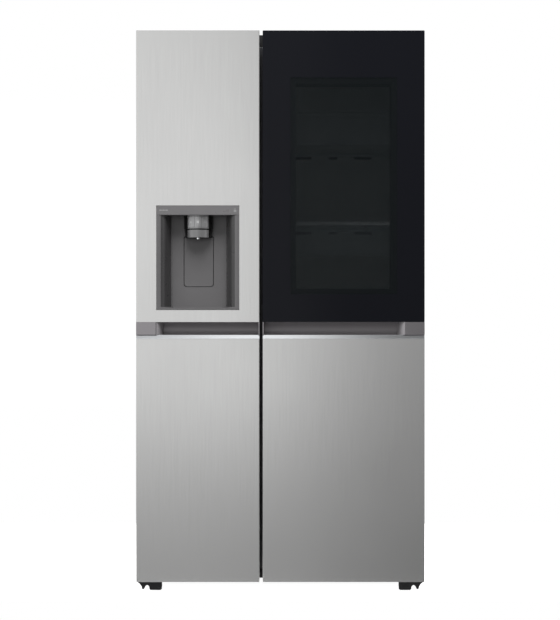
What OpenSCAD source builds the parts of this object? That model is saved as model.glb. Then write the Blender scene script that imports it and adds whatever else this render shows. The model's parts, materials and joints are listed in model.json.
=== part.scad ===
// Side by side refrigerator: a freezer behind the left door and a fridge behind the right one.
// The doors face -Y, the floor is at z = 0, and the origin is under the middle of the cabinet.
// "Door frame" means the local frame of one door: u runs from the hinge side, at 0, to the free side.

/* [Overall size] */
// Width across both doors
body_w = 913; // [905:1:925]
// Height to the top of the covers over the hinges
total_h = 1790; // [1788:1:1795]
// Depth from the fronts of the doors to the beads on the rear panel
total_d = 735; // [735:1:745]

/* [Doors] */
// Width of the freezer door
freezer_door_w = 390.5; // [385:0.5:400]
// Gap between the two doors
door_gap = 10; // [8:1:12]
// Thickness of a door without its gasket
door_t = 100; // [100:1:102]
// Underside of the doors above the floor
door_z0 = 40; // [39:0.5:41]
// Top edge of the door fronts above the floor
door_z1 = 1785; // [1783:1:1786]
// Lower edge of the grip opening above the floor
grip_z = 822; // [810:1:830]
// Height of the grip opening
grip_h = 40.5; // [36:0.5:44]
// Height of the bright strip under the grip opening
trim_h = 13; // [10:1:16]

/* [Dispenser] */
// Width of the dispenser's frame
dispenser_w = 262.3; // [250:0.1:270]
// Lower edge of the dispenser's frame above the floor
dispenser_z = 900.5; // [898:0.5:904]
// Height of the dispenser's frame
dispenser_h = 330.5; // [328:0.5:333]
// Height of the display strip at the dispenser's top
strip_h = 30; // [26:1:32]

/* [Window] */
// Distance from the hinge side of the fridge door to the window
window_u = 87.5; // [86:0.5:92]
// Width of the window
window_w = 337; // [320:1:340]
// Lower edge of the window above the floor
window_z = 951; // [940:1:960]
// Height of the window
window_h = 685; // [660:1:695]

/* [Cabinet] */
// Thickness of a side wall with its insulation
wall_t = 47; // [45:1:50]
// Thickness of the wall between freezer and fridge
divider_t = 60; // [56:1:64]

/* [Hidden] */
$fn = 64;

// Clearances
fit = 0.1;          // between pieces of one body that lie side by side
hair = 0.2;         // between blocks of one foam filling, so that each stays a plain block
pin_gap = 0.05;     // radial, between a pin and its bore
seal_gap = 0.3;     // between a gasket and the cabinet

// Main planes
x_left = -body_w / 2;
x_right = body_w / 2;
y_front = -total_d / 2;
y_slab = y_front + door_t;       // rear face of a door's slab
gasket_t = 15;
y_cab = y_slab + gasket_t;       // front face of the cabinet
y_back = total_d / 2;
case_x = body_w / 2 - 2;         // half the cabinet's width
case_z0 = 34;
case_z1 = 1750;
case_y1 = y_back - 2.5;          // rear edge of the side panels
mid_x = x_left + freezer_door_w + door_gap / 2;
fridge_door_w = body_w - freezer_door_w - door_gap;
sheet = 0.8;

// Cavities, by the outer faces of their liners
liner_t = 2;
cav_z0 = 118;
cav_z1 = 1700;
cav_y1 = 300;
freezer_x = [-case_x + wall_t, mid_x - divider_t / 2];
fridge_x = [mid_x + divider_t / 2, case_x - wall_t];
step_y0 = 95;                    // where the cavity floor starts to rise
step_y1 = 125;                   // and where it has risen
step_z = 298;
inner_y0 = -130;                 // front of the shelves and drawers

// Machine room at the lower rear
room_y0 = 150;
room_z1 = 250;
cover_y = y_back - 16.5;         // inner face of its rear cover
pan_z1 = 64;
pan_t = 2;

// Hinges, in the door frame
axis_u = 22;
axis_y = y_front + 57.5;
pin_r = 6;
boss_r = 11;
cap_t = 4;
cap_z = door_z1 - 17;            // underside of the top end cap
arm_z = 1773;
hinge_t = 4;

// Door details, in the door frame
skin_back = y_slab - 2.5;        // rear edge of the steel sides
dyke_u0 = 60.5;                  // hinge side of the raised rim that enters the cavity
dyke_free = 42;                  // its distance from the free edge
dyke_w = 26;
dyke_y = y_cab + 47.5;
dyke_z = [cav_z0 + 12, cav_z1 - 12];
gasket_w = 18;
gasket_u = 24;
gasket_free = 6;
gasket_z = [92, 1738];
basket_u0 = dyke_u0 + dyke_w + 2;
basket_y1 = y_slab + 120.5;
basket_h = 100;
pocket_z = [grip_z - 36, grip_z + grip_h + 14];
pocket_t = 56;
pocket_end = 58;                 // solid end of the grip at the hinge side
trim_t = 9;

// Dispenser, in the freezer door's frame
disp_u = freezer_door_w / 2;
disp_z1 = dispenser_z + dispenser_h;
recess_t = 64;
recess_half = dispenser_w / 2 - 8;
recess_back = 88.5;
recess_z1 = disp_z1 - strip_h;
housing_t = 85;
nozzle_y = y_front + 55;
nozzle_r = 47;
nozzle_z0 = recess_z1 - 71;
groove_z = [recess_z1 - 45.5, recess_z1 - 42];
chute_r = 30;
chute_tilt = 37;
paddle_w = 92;
paddle_z = [976, 1130];
paddle_y = y_front + recess_t;
key_w = 20;
key_pitch = 22.5;
key_z = [recess_z1 - 38, recess_z1 - 4];
tray_z = [dispenser_z + 2.7, dispenser_z + 9.5];

// Shelves and drawers
fridge_shelf_z = [307.2, 475, 710, 945, 1187, 1455];
freezer_shelf_z = [307.2, 560, 800, 1040, 1280, 1500];
fridge_basket_z = [162, 420, 700, 1075, 1440];
freezer_basket_z = [162, 385, 625, 960];
rib_w = 8;
duct_y = cav_y1 - liner_t - 0.2;
duct_t = 10;
vent_x = 107;                    // from the duct's middle to its outer slots
evap_y = 215;

// Feet and rollers
foot_x = 404;
foot_y = -230;
foot_r = 20;
stud_r = 6;
roller_x = 395;
roller_y = 295;
roller_r = 16;
roller_w = 22;
axle_r = 4;

// Machine room pieces
fan_x = 20;
fan_y = 255;
fan_z = 155;
fan_r = 66;
inlet_r = 13.2;
collar_r = 18;
connection_x = -400;
inlet_z = 195;
gland_z = 110;

// ---------- helpers ----------

// A box between two values on each axis.
module span(x, y, z) {
    translate([x[0], y[0], z[0]]) cube([x[1] - x[0], y[1] - y[0], z[1] - z[0]]);
}

// A rectangle with round corners, between two values on each axis.
module round_rect(x, y, r) {
    translate([x[0] + r, y[0]]) square([x[1] - x[0] - 2 * r, y[1] - y[0]]);
    translate([x[0], y[0] + r]) square([x[1] - x[0], y[1] - y[0] - 2 * r]);
    for (cx = [x[0] + r, x[1] - r], cy = [y[0] + r, y[1] - r])
        translate([cx, cy]) circle(r);
}

// A round-cornered plate that stands in the XZ plane and is t thick along Y.
module round_plate(x, z, y, t, r) {
    translate([0, y + t, 0]) rotate([90, 0, 0]) linear_extrude(t) round_rect(x, z, r);
}

// A profile given as [y, z] points, drawn along X between two values.
module along_x(x, points) {
    translate([x[0], 0, 0]) rotate([90, 0, 90]) linear_extrude(x[1] - x[0]) polygon(points);
}

module rod_x(x, y, z, r) {
    translate([x[0], y, z]) rotate([0, 90, 0]) cylinder(h = x[1] - x[0], r = r);
}

module rod_y(x, y, z, r) {
    translate([x, y[1], z]) rotate([90, 0, 0]) cylinder(h = y[1] - y[0], r = r);
}

// Puts a piece drawn in the door frame on the freezer door or on the fridge door.
module on_freezer_door() {
    translate([x_left, 0, 0]) children();
}

module on_fridge_door() {
    translate([x_right, 0, 0]) mirror([1, 0, 0]) children();
}

module on_both_sides() {
    on_freezer_door() children();
    on_fridge_door() children();
}

// An open-topped tub with round corners.
module tub(x, y, z, wall, r) {
    difference() {
        translate([0, 0, z[0]]) linear_extrude(z[1] - z[0]) round_rect(x, y, r);
        translate([0, 0, z[0] + wall]) linear_extrude(z[1] - z[0])
            round_rect([x[0] + wall, x[1] - wall], [y[0] + wall, y[1] - wall], r - wall);
    }
}

// ---------- cabinet ----------

// The YZ outline of a cavity, drawn in by i all round; its front is open.
function cavity(i) = let (front = i > 0 ? y_cab - 1 : y_cab) [
    [front, cav_z0 + i], [step_y0 - i, cav_z0 + i], [step_y1 - i, step_z + i],
    [cav_y1 - i, step_z + i], [cav_y1 - i, cav_z1 - i], [front, cav_z1 - i],
];

// The outer case: two side panels and a top panel.
module case_panels() color("silver") {
    for (x = [-case_x, case_x - sheet])
        span([x, x + sheet], [y_cab, case_y1], [case_z0, case_z1]);
    span([-case_x + sheet + fit, case_x - sheet - fit], [y_cab, case_y1], [case_z1 - sheet, case_z1]);
}

// The sheet that the door seals close on, with an opening for each cavity and a low one for the feet.
module front_frame() color("#2f3033") difference() {
    span([-case_x + sheet + fit, case_x - sheet - fit], [y_cab, y_cab + sheet],
         [case_z0, case_z1 - sheet - fit]);
    for (cav = [freezer_x, fridge_x])
        span([cav[0] - fit, cav[1] + fit], [y_cab - 1, y_cab + 2], [cav_z0 - fit, cav_z1 + fit]);
    span([-case_x + 24, case_x - 24], [y_cab - 1, y_cab + 2], [case_z0 - 1, pan_z1 + 2]);
}

module rear_panel() color("lightgray") {
    span([-case_x + 1.2, case_x - 1.2], [case_y1 - 0.8, case_y1], [room_z1 + 2, case_z1 - 1.2]);
    for (z = [420 : 260 : 1460])
        along_x([-380, 380], [[case_y1 - 0.8, z], [case_y1, z], [y_back, z + 8], [y_back, z + 22],
                              [case_y1, z + 30], [case_y1 - 0.8, z + 30]]);
}

module base_pan() color("dimgray") {
    pan_x = case_x - sheet - 0.2;
    pan_y = [y_cab + sheet + 0.2, cover_y - 0.2];
    difference() {
        union() {
            difference() {
                span([-pan_x, pan_x], pan_y, [case_z0, pan_z1]);
                span([-pan_x + pan_t, pan_x - pan_t], [pan_y[0] + pan_t, pan_y[1] - pan_t],
                     [case_z0 + pan_t, pan_z1 + 1]);
            }
            for (s = [-1, 1])
                translate([s * foot_x, foot_y, case_z0]) cylinder(h = pan_z1 - case_z0 - 2, r = 14);
        }
        for (s = [-1, 1])
            translate([s * foot_x, foot_y, 0]) cylinder(h = 100, r = stud_r + pin_gap);
    }
    for (s = [-1, 1]) translate([s * roller_x, 0, 0]) {
        for (x = [-roller_w / 2 - 4.5, roller_w / 2 + 1.5])
            span([x, x + 3], [roller_y - 12, roller_y + 12], [8, case_z0 - fit]);
        span([-roller_w / 2 - 4.5, roller_w / 2 + 4.5], [roller_y - 12, roller_y + 12],
             [case_z0 - 1.2, case_z0 - fit]);
        rod_x([-roller_w / 2 - 4, roller_w / 2 + 4], roller_y, roller_r, axle_r);
    }
}

// Slabs of rigid foam, kept apart by a hair so that each stays a plain block.
module cabinet_foam() color("khaki") {
    x0 = -case_x + sheet + fit;
    x1 = case_x - sheet - fit;
    y0 = y_cab + sheet + fit;
    y1 = case_y1 - 1 - fit;
    z1 = case_z1 - sheet - fit;
    walls = [[x0, freezer_x[0] - fit], [freezer_x[1] + fit, fridge_x[0] - fit], [fridge_x[1] + fit, x1]];
    for (w = walls) {
        span(w, [y0, cav_y1], [step_z + fit, cav_z1]);
        along_x(w, [[y0, cav_z0], [step_y0, cav_z0], [step_y1, step_z - fit], [y0, step_z - fit]]);
    }
    span([x0, x1], [y0, y1], [cav_z1 + fit, z1]);
    span([x0, x1], [cav_y1 + fit, y1], [step_z + fit, cav_z1]);
    span([x0, x1], [y0, step_y0 - fit], [pan_z1 + 2, cav_z0 - fit]);
    along_x([x0, x1], [[step_y0 + fit, pan_z1 + 2], [step_y0 + fit, cav_z0], [step_y1 + fit, step_z - fit],
                       [room_y0, step_z - fit], [room_y0, pan_z1 + 2]]);
    span([x0, x1], [room_y0 + fit, y1], [room_z1, step_z - fit]);
}

// A one-piece plastic liner with ribs that carry the shelves.
module liner(x, shelves) {
    difference() {
        along_x(x, cavity(0));
        along_x([x[0] + liner_t, x[1] - liner_t], cavity(liner_t));
    }
    for (z = shelves, side = [x[0] + 1, x[1] - 1 - rib_w])
        span([side, side + rib_w], [-100, z < step_z + 20 ? step_y0 - 10 : 200], [z - 14, z - 6.2]);
}

module cabinet_liners() color("whitesmoke") {
    liner(freezer_x, freezer_shelf_z);
    liner(fridge_x, fridge_shelf_z);
}

// Covers over the two hinges and over the wiring between them.
module top_covers() color("#2b2b2d") {
    on_both_sides() difference() {
        union() {
            span([2, 70], [y_cab + 1.5, -140], [case_z1 + 0.2, total_h]);
            span([5, 39], [axis_y, y_cab + 2], [arm_z + 6, total_h]);
            translate([axis_u, axis_y, arm_z + 6]) cylinder(h = total_h - arm_z - 6, r = 17);
        }
        span([4, 68], [y_cab + 3.5, -142], [case_z1 - 1, total_h - 2]);
        span([5, 52], [y_cab, y_cab + 5], [case_z1 - 1, arm_z + 6]);
    }
    difference() {
        span([x_left + 72, x_right - 72], [y_cab + 1.5, -190], [case_z1 + 0.2, total_h]);
        span([x_left + 74, x_right - 74], [y_cab + 3.5, -192], [case_z1 - 1, total_h - 2]);
    }
}

module top_hinges() color("gray") on_both_sides() {
    span([8, 50], [y_cab + 5, -150], [case_z1 + 0.1, case_z1 + hinge_t]);
    span([8, 50], [y_cab + 5, y_cab + 9], [case_z1 + 0.1, arm_z + hinge_t]);
    span([8, 36], [axis_y, y_cab + 9], [arm_z, arm_z + hinge_t]);
    translate([axis_u, axis_y, arm_z]) cylinder(h = hinge_t, r = 14);
    translate([axis_u, axis_y, cap_z - 14]) cylinder(h = arm_z + hinge_t - cap_z + 14, r = pin_r);
    for (y = [-225, -175])
        translate([29, y, case_z1 + hinge_t - 1]) cylinder(h = 6, r = 7, $fn = 6);
}

// Lower hinge: a plate under the door with a shaped skirt along its front, and a tab with two screws
// that lies under the base pan.
module lower_hinges() color("#202020") on_both_sides() {
    plate_z = [door_z0 - 7, door_z0 - 3];
    tab_z = [case_z0 - 4.2, case_z0 - 0.2];
    span([2.5, 79.5], [axis_y - 22, y_cab - 0.2], plate_z);
    translate([axis_u, axis_y, plate_z[0]]) cylinder(h = 27, r = pin_r);
    translate([0, axis_y - 18, 0]) rotate([90, 0, 0]) linear_extrude(4) union() {
        polygon([[2.5, plate_z[1]], [2.5, 33], [8, 29], [14.5, 20], [15.5, 14], [23.5, 14], [26.5, 21],
                 [31.5, 24.5], [36, 23], [38.8, 19], [40, 12], [43, 8.7], [75, 8.7], [79, 12],
                 [79.5, plate_z[1]]]);
        translate([19.5, 15.5]) circle(4.2);
    }
    span([2.5, 79.5], [y_cab - 4.2, y_cab - 0.2], [tab_z[0], plate_z[1]]);
    span([6, 40], [y_cab - 4.2, y_cab + 30], tab_z);
    for (u = [14, 30])
        translate([u, y_cab + 12, tab_z[0] - 3]) cylinder(h = 3.5, r = 4);
}

// ---------- machine room ----------

module machine_cover() color("gray") difference() {
    span([-case_x + 2, case_x - 2], [cover_y, cover_y + 1.5], [pan_z1 + 2, room_z1]);
    for (i = [0 : 4], j = [0 : 8])
        translate([-300 + i * 130, cover_y - 1, 90 + j * 16]) cube([100, 4, 7]);
    rod_y(connection_x, [cover_y - 1, cover_y + 3], inlet_z, collar_r + 0.3);
    rod_y(connection_x, [cover_y - 1, cover_y + 3], gland_z, 11.3);
}

// The half outline of the compressor's can, as [radius, height] points.
function can(r, z0, z1, dome) = concat(
    [[0, z0]],
    [for (a = [15 : 15 : 90]) [r * sin(a), z0 + dome * (1 - cos(a))]],
    [for (a = [90 : -15 : 15]) [r * sin(a), z1 - dome * (1 - cos(a))]],
    [[0, z1]]
);

module compressor() color("#1c1c1e") translate([250, 250, 0]) {
    rotate_extrude() polygon(can(74, 50, 205, 34));
    span([-95, 95], [-60, 60], [48, 52]);
    for (x = [-80, 80], y = [-45, 45])
        translate([x, y, case_z0 + pan_t + fit]) cylinder(h = 14, r = 13);
    translate([60, -30, 95]) cube([34, 60, 60]);
    translate([-40, 0, 195]) cylinder(h = 30, r = 4);
}

// Fins on tubes, with round bends at the ends: used for the condenser and for the evaporator.
module finned_coil(x, y, z, rows, r, fins, fin_t) {
    pitch_z = (z[1] - z[0]) / rows;
    for (col = [0.25, 0.75], i = [0 : rows - 1]) {
        cy = y[0] + (y[1] - y[0]) * col;
        cz = z[0] + pitch_z * (i + 0.5);
        rod_x(x, cy, cz, r);
        if (i < rows - 1)
            translate([(i % 2 == 0) ? x[1] : x[0], cy, cz + pitch_z / 2])
                rotate([90, 0, 0]) rotate([0, 0, (i % 2 == 0) ? -90 : 90])
                    rotate_extrude(angle = 180) translate([pitch_z / 2, 0]) circle(r);
    }
    for (i = [0 : fins - 1])
        translate([x[0] + (x[1] - x[0]) * (i + 1) / (fins + 1), y[0], z[0]])
            cube([fin_t, y[1] - y[0], z[1] - z[0]]);
}

module condenser() color("#3a3a3c") finned_coil([-300, -90], [185, 325], [80, 230], 4, 4, 12, 1);

module drain_pan() color("#26282b") tub([-340, -50], [175, 335], [case_z0 + pan_t + 0.2, 62], 2.5, 15);

// A fan guide plate with a round mouth, and the motor on its spider.
module fan_shroud() color("#2a2a2c") {
    difference() {
        span([fan_x, fan_x + 4], [room_y0 + 15, cover_y - 10], [case_z0 + pan_t + 0.2, room_z1 - 8]);
        rod_x([fan_x - 1, fan_x + 5], fan_y, fan_z, fan_r + 4);
    }
    for (a = [90, 210, 330])
        translate([fan_x + 18, fan_y, fan_z]) rotate([a, 0, 0])
            translate([0, -5, 12]) cube([4, 10, fan_r + 4]);
    for (a = [90, 210, 330])
        translate([fan_x + 2, fan_y, fan_z]) rotate([a, 0, 0])
            translate([0, -5, fan_r + 6]) cube([20, 10, 8]);
    rod_x([fan_x + 14, fan_x + 50], fan_y, fan_z, 22);
    rod_x([fan_x - 12, fan_x + 20], fan_y, fan_z, 3);
}

// A fan that turns about X: a hub and pitched blades round a bored boss.
module fan(x, y, z, hub_r, r, w, blades) {
    translate([x, y, z]) rotate([0, 90, 0]) difference() {
        union() {
            cylinder(h = w, r = hub_r);
            for (i = [0 : blades - 1])
                rotate([0, 0, i * 360 / blades]) translate([hub_r - 3, 0, w / 2]) rotate([32, 0, 0])
                    translate([0, -16, -0.8]) cube([r - hub_r, 32, 1.6]);
        }
        translate([0, 0, -50]) cylinder(h = 100, r = 3 + pin_gap);
    }
}

module condenser_fan() color("#44464a") fan(fan_x - 12, fan_y, fan_z, 20, fan_r, 20, 5);

// The water inlet on its valve, and the gland that the mains lead leaves by.
module rear_connections() color("#d8d8d4") {
    difference() {
        union() {
            rod_y(connection_x, [cover_y - 20, cover_y + 2], inlet_z, collar_r);
            rod_y(connection_x, [cover_y, y_back - 1.5], inlet_z, inlet_r);
            span([connection_x - 22, connection_x + 22], [cover_y - 60, cover_y - 15],
                 [inlet_z - 22, inlet_z + 22]);
        }
        rod_y(connection_x, [cover_y - 12, y_back], inlet_z, 6);
    }
    difference() {
        union() {
            rod_y(connection_x, [cover_y - 8, cover_y + 8], gland_z, 11);
            rod_y(connection_x, [cover_y + 1.6, cover_y + 4.6], gland_z, 15);
            rod_y(connection_x, [cover_y - 8, cover_y - 2], gland_z, 15);
        }
        rod_y(connection_x, [cover_y - 20, cover_y + 20], gland_z, 4.2);
    }
}

// ---------- inside the cabinet ----------

// The cold air duct on the fridge's rear wall, with slots under each shelf.
module duct_panel() color("whitesmoke") {
    cx = (fridge_x[0] + fridge_x[1]) / 2;
    difference() {
        span([cx - 180, cx + 180], [duct_y - duct_t, duct_y], [step_z + 6, cav_z1 - 10]);
        span([cx - 170, cx + 170], [duct_y - duct_t + 3, duct_y + 1], [step_z + 16, cav_z1 - 20]);
        for (z = fridge_shelf_z)
            if (z > 600) {
                for (s = [-1, 1])
                    translate([cx + s * vent_x - 31, duct_y - duct_t - 1, z - 17]) cube([62, 6, 10]);
                translate([cx - 15, duct_y - duct_t - 1, z - 17]) cube([30, 6, 10]);
            }
    }
}

shelf_x = [fridge_x[0] + liner_t + 2, fridge_x[1] - liner_t - 2];
shelf_y = [inner_y0, duct_y - duct_t - 3];

module shelf_frames() color("#dfe3e6") for (z = fridge_shelf_z) difference() {
    span(shelf_x, shelf_y, [z - 6, z + 6]);
    span([shelf_x[0] + 5, shelf_x[1] - 5], [shelf_y[0] + 12, shelf_y[1] - 8], [z, z + 10]);
    span([shelf_x[0] + 14, shelf_x[1] - 14], [shelf_y[0] + 20, shelf_y[1] - 16], [z - 10, z + 10]);
}

module shelf_panes() color([0.75, 0.88, 0.9, 0.5]) for (z = fridge_shelf_z)
    span([shelf_x[0] + 5.2, shelf_x[1] - 5.2], [shelf_y[0] + 12.2, shelf_y[1] - 8.2], [z, z + 4]);

// A drawer with a thicker front and a finger lip along its top.
module drawer(x, y, z) {
    tub(x, [y[0] + 6, y[1]], z, 3, 12);
    difference() {
        round_plate(x, [z[0] + 2, z[1] + 4], y[0], 9, 8);
        span([x[0] + 40, x[1] - 40], [y[0] + 3, y[0] + 10], [z[1] - 26, z[1] + 5]);
    }
}

drawer_side = 12;

module fridge_drawer(y, z) color([0.85, 0.92, 0.95, 0.6])
    drawer([fridge_x[0] + liner_t + drawer_side, fridge_x[1] - liner_t - drawer_side], y, z);

module freezer_drawer(y, z) color([0.85, 0.92, 0.95, 0.6])
    drawer([freezer_x[0] + liner_t + drawer_side, freezer_x[1] - liner_t - drawer_side], y, z);

module upper_crisper() fridge_drawer([inner_y0, 262], [314.5, 460]);

module lower_crisper() fridge_drawer([inner_y0, 84], [124, 290]);

module upper_freezer_drawer() freezer_drawer([inner_y0, 205], [314.5, 530]);

module lower_freezer_drawer() freezer_drawer([inner_y0, 84], [124, 290]);

// Frosted plates with a raised front rim.
module freezer_shelves() color([0.8, 0.9, 0.95, 0.6]) for (z = freezer_shelf_z) {
    span([freezer_x[0] + liner_t + 2, freezer_x[1] - liner_t - 2], [inner_y0 + 4, evap_y - 4],
         [z - 6, z - 2]);
    span([freezer_x[0] + liner_t + 2, freezer_x[1] - liner_t - 2], [inner_y0, inner_y0 + 5], [z - 6, z + 6]);
}

evap_x = [freezer_x[0] + liner_t + 1, freezer_x[1] - liner_t - 1];
evap_fan_z = 1400;

// The panel in front of the evaporator, with the fan's motor on its rear face.
module evaporator_cover() color("whitesmoke") {
    cx = (evap_x[0] + evap_x[1]) / 2;
    difference() {
        span(evap_x, [evap_y, evap_y + 4], [step_z + 4, cav_z1 - 4]);
        for (i = [-2 : 2], j = [0 : 5])
            translate([cx + i * 48 - 19, evap_y - 1, 330 + j * 12]) cube([38, 6, 5]);
        for (j = [-4 : 4])
            translate([cx - 42, evap_y - 1, evap_fan_z + j * 10 - 3]) cube([84, 6, 5]);
        for (i = [-1 : 1])
            translate([cx + i * 80 - 28, evap_y - 1, 1620]) cube([56, 6, 8]);
    }
    rod_y(cx, [evap_y + 44, evap_y + 64], evap_fan_z, 20);
    rod_y(cx, [evap_y + 18, evap_y + 46], evap_fan_z, 3);
    for (s = [-1, 1]) {
        translate([cx + s * 66 - 4, evap_y + 3, evap_fan_z - 8]) cube([8, 50, 16]);
        translate([cx + (s > 0 ? 10 : -66), evap_y + 48, evap_fan_z - 6]) cube([56, 5, 12]);
    }
}

module evaporator() color("silver") finned_coil([-380, -118], [228, 286], [450, 700], 6, 4, 16, 0.8);

module evaporator_fan() color("#d0d4d8") {
    cx = (evap_x[0] + evap_x[1]) / 2;
    translate([cx, evap_y + 20, evap_fan_z]) rotate([0, 0, 90]) fan(0, 0, 0, 16, 52, 18, 5);
}

// ---------- feet and rollers ----------

module foot(s) color("#1b1b1d") translate([s * foot_x, foot_y, 0]) {
    rotate_extrude() {
        square([foot_r - 4, 20]);
        square([foot_r - 2, 16]);
        translate([0, 4]) square([foot_r, 12]);
        translate([foot_r - 4, 4]) circle(4);
        translate([foot_r - 4, 16]) circle(4);
    }
    cylinder(h = 58, r = stud_r);
    translate([0, 0, 19]) cylinder(h = 9, r = 11, $fn = 6);
}

module left_foot() foot(-1);

module right_foot() foot(1);

module roller(s) color("#1b1b1d") translate([s * roller_x, 0, 0]) difference() {
    rod_x([-roller_w / 2, roller_w / 2], roller_y, roller_r, roller_r);
    rod_x([-roller_w, roller_w], roller_y, roller_r, axle_r + pin_gap);
    for (x = [-roller_w / 2 - 1, roller_w / 2 - 4]) difference() {
        rod_x([x, x + 5], roller_y, roller_r, roller_r - 4);
        rod_x([x, x + 5], roller_y, roller_r, axle_r + 4);
    }
}

module left_roller() roller(-1);

module right_roller() roller(1);

// ---------- doors: pieces that both doors have, in the door frame ----------

// A frame-shaped block between an outer and an inner rectangle in XZ.
module ring(u, z, w, y) {
    difference() {
        span(u, y, z);
        span([u[0] + w, u[1] - w], [y[0] - 1, y[1] + 1], [z[0] + w, z[1] - w]);
    }
}

// A folded steel skin: front and two sides. The sides stop lower than the front at the top.
module skin(w, z0, z1, side_z1) {
    difference() {
        span([0, w], [y_front, skin_back], [z0, side_z1]);
        span([sheet, w - sheet], [y_front + sheet, skin_back + 1], [z0 - 1, side_z1 + 1]);
    }
    span([0, w], [y_front, y_front + sheet], [z0, z1]);
}

// Blocks round a rectangular hole: one at each side, one below and one above.
module blocks_round(u, z, y, hole_u, hole_z) {
    span([u[0], hole_u[0]], y, z);
    span([hole_u[1], u[1]], y, z);
    span([hole_u[0] + hair, hole_u[1] - hair], y, [z[0], hole_z[0]]);
    span([hole_u[0] + hair, hole_u[1] - hair], y, [hole_z[1], z[1]]);
}

// Rigid foam that fills a door and its raised rim, in blocks round the hole for a built-in piece.
module door_core(w, front_t, hole_u, hole_z) {
    u = [sheet + fit, w - sheet - fit];
    y1 = y_slab - liner_t - fit;
    rim_u = [dyke_u0 + liner_t + fit, w - dyke_free - liner_t - fit];
    rim_z = [dyke_z[0] + liner_t + fit, dyke_z[1] - liner_t - fit];
    rim_w = dyke_w - 2 * (liner_t + fit);
    difference() {
        union() {
            span(u, [y_front + sheet + fit, y1], [door_z0 + cap_t + fit, pocket_z[0] - fit]);
            span(u, [y_front + pocket_t + fit, y1], [pocket_z[0] + fit, pocket_z[1] - fit]);
            blocks_round(u, [pocket_z[1] + fit, cap_z - fit], [y_front + front_t + fit, y1], hole_u, hole_z);
        }
        for (z = [[door_z0, door_z0 + 26], [cap_z - 26, cap_z + 5]])
            translate([axis_u, axis_y, z[0]]) cylinder(h = z[1] - z[0], r = boss_r + fit);
    }
    blocks_round(rim_u, rim_z, [y1 + hair, dyke_y - liner_t - fit],
                 [rim_u[0] + rim_w, rim_u[1] - rim_w], [rim_z[0] + rim_w, rim_z[1] - rim_w]);
}

// The inner sheet of a door, raised all round into the rim that enters the cavity.
module door_liner(w) {
    difference() {
        union() {
            span([0.5, w - 0.5], [y_slab - liner_t, y_slab], [door_z0 + 0.5, cap_z + cap_t]);
            ring([dyke_u0, w - dyke_free], dyke_z, dyke_w, [y_slab - liner_t, dyke_y]);
        }
        ring([dyke_u0 + liner_t, w - dyke_free - liner_t], [dyke_z[0] + liner_t, dyke_z[1] - liner_t],
             dyke_w - 2 * liner_t, [y_slab - liner_t - 1, dyke_y - liner_t]);
    }
}

module gasket(w) {
    ring([gasket_u, w - gasket_free], gasket_z, gasket_w, [y_slab, y_cab - seal_gap]);
}

// End caps: the top one lies below the front's upper edge, so that the hinge arm passes over it.
module door_caps(w, front_t) {
    for (top = [false, true]) {
        z = top ? cap_z : door_z0;
        front = y_front + fit + (top ? front_t : sheet);
        boss_z = top ? [cap_z - 24, cap_z + cap_t] : [door_z0, door_z0 + 25];
        bore_z = top ? [cap_z - 18, cap_z + cap_t + 1] : [door_z0 - 1, door_z0 + 23];
        difference() {
            union() {
                span([sheet + fit, w - sheet - fit], [front, y_slab - liner_t - fit], [z, z + cap_t]);
                translate([axis_u, axis_y, boss_z[0]]) cylinder(h = boss_z[1] - boss_z[0], r = boss_r);
                if (top)
                    span([sheet + fit, w - sheet - fit], [front, front + 8], [z, door_z1 - 0.5]);
            }
            translate([axis_u, axis_y, bore_z[0]]) cylinder(h = bore_z[1] - bore_z[0], r = pin_r + pin_gap);
        }
    }
}

// The YZ outline of the hollow that the fingers enter: a mouth, a round back and a dip behind the trim.
module grip_profile() {
    square([16, grip_h]);
    intersection() {
        translate([22, 18]) circle(grip_h - 18);
        translate([4, -20]) square([60, 80]);
    }
    translate([26, -3]) circle(16);
}

// Its outline from above: the hinge-side end curves out to the front.
function grip_plan(w) = concat(
    [[w - 3, -1], [pocket_end, -1]],
    [for (a = [0 : 10 : 90]) [pocket_end + 26 * sin(a), 47 * (1 - cos(a))]],
    [[w - 3, 47]]
);

module handle_pocket(w) {
    difference() {
        union() {
            span([0, w], [y_front + 0.6, y_front + pocket_t], [grip_z + fit, grip_z + grip_h - fit]);
            span([sheet + fit, w - sheet - fit], [y_front + sheet + 3.2, y_front + pocket_t],
                 [grip_z + grip_h - 1, pocket_z[1]]);
            span([sheet + fit, w - sheet - fit], [y_front + trim_t + fit, y_front + pocket_t],
                 [pocket_z[0], grip_z + 1]);
            for (u = [[0, sheet], [w - sheet, w]])
                span(u, [y_front + 0.6, skin_back], [grip_z - trim_h + fit, grip_z + grip_h - fit]);
        }
        translate([0, y_front, grip_z]) intersection() {
            rotate([90, 0, 90]) linear_extrude(w) grip_profile();
            translate([0, 0, -40]) linear_extrude(100) polygon(grip_plan(w));
        }
        span([-1, w + 1], [y_front - 1, y_front + trim_t], [grip_z - trim_h - 1, grip_z]);
    }
}

module handle_trim(w) {
    z0 = grip_z - trim_h;
    along_x([0, w], [[y_front, z0 + fit], [y_front, z0 + 2], [y_front + 4.5, grip_z - 1],
                     [y_front + 5.5, grip_z], [y_front + trim_t, grip_z], [y_front + trim_t, z0 + fit]]);
}

module basket(w, z) {
    tub([basket_u0, w - dyke_free - dyke_w - 2], [y_slab + 2, basket_y1], [z, z + basket_h], 2.5, 16);
    for (u = [basket_u0 - 1.8, w - dyke_free - dyke_w - 10.2])
        span([u, u + 10], [y_slab + 20, y_slab + 50], [z + 55, z + 80]);
}

// ---------- freezer door ----------

module dispenser_hole(grow) {
    span([disp_u - dispenser_w / 2 - grow, disp_u + dispenser_w / 2 + grow],
         [y_front - 1, y_front + housing_t + grow], [dispenser_z - grow, disp_z1 + grow]);
}

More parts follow.
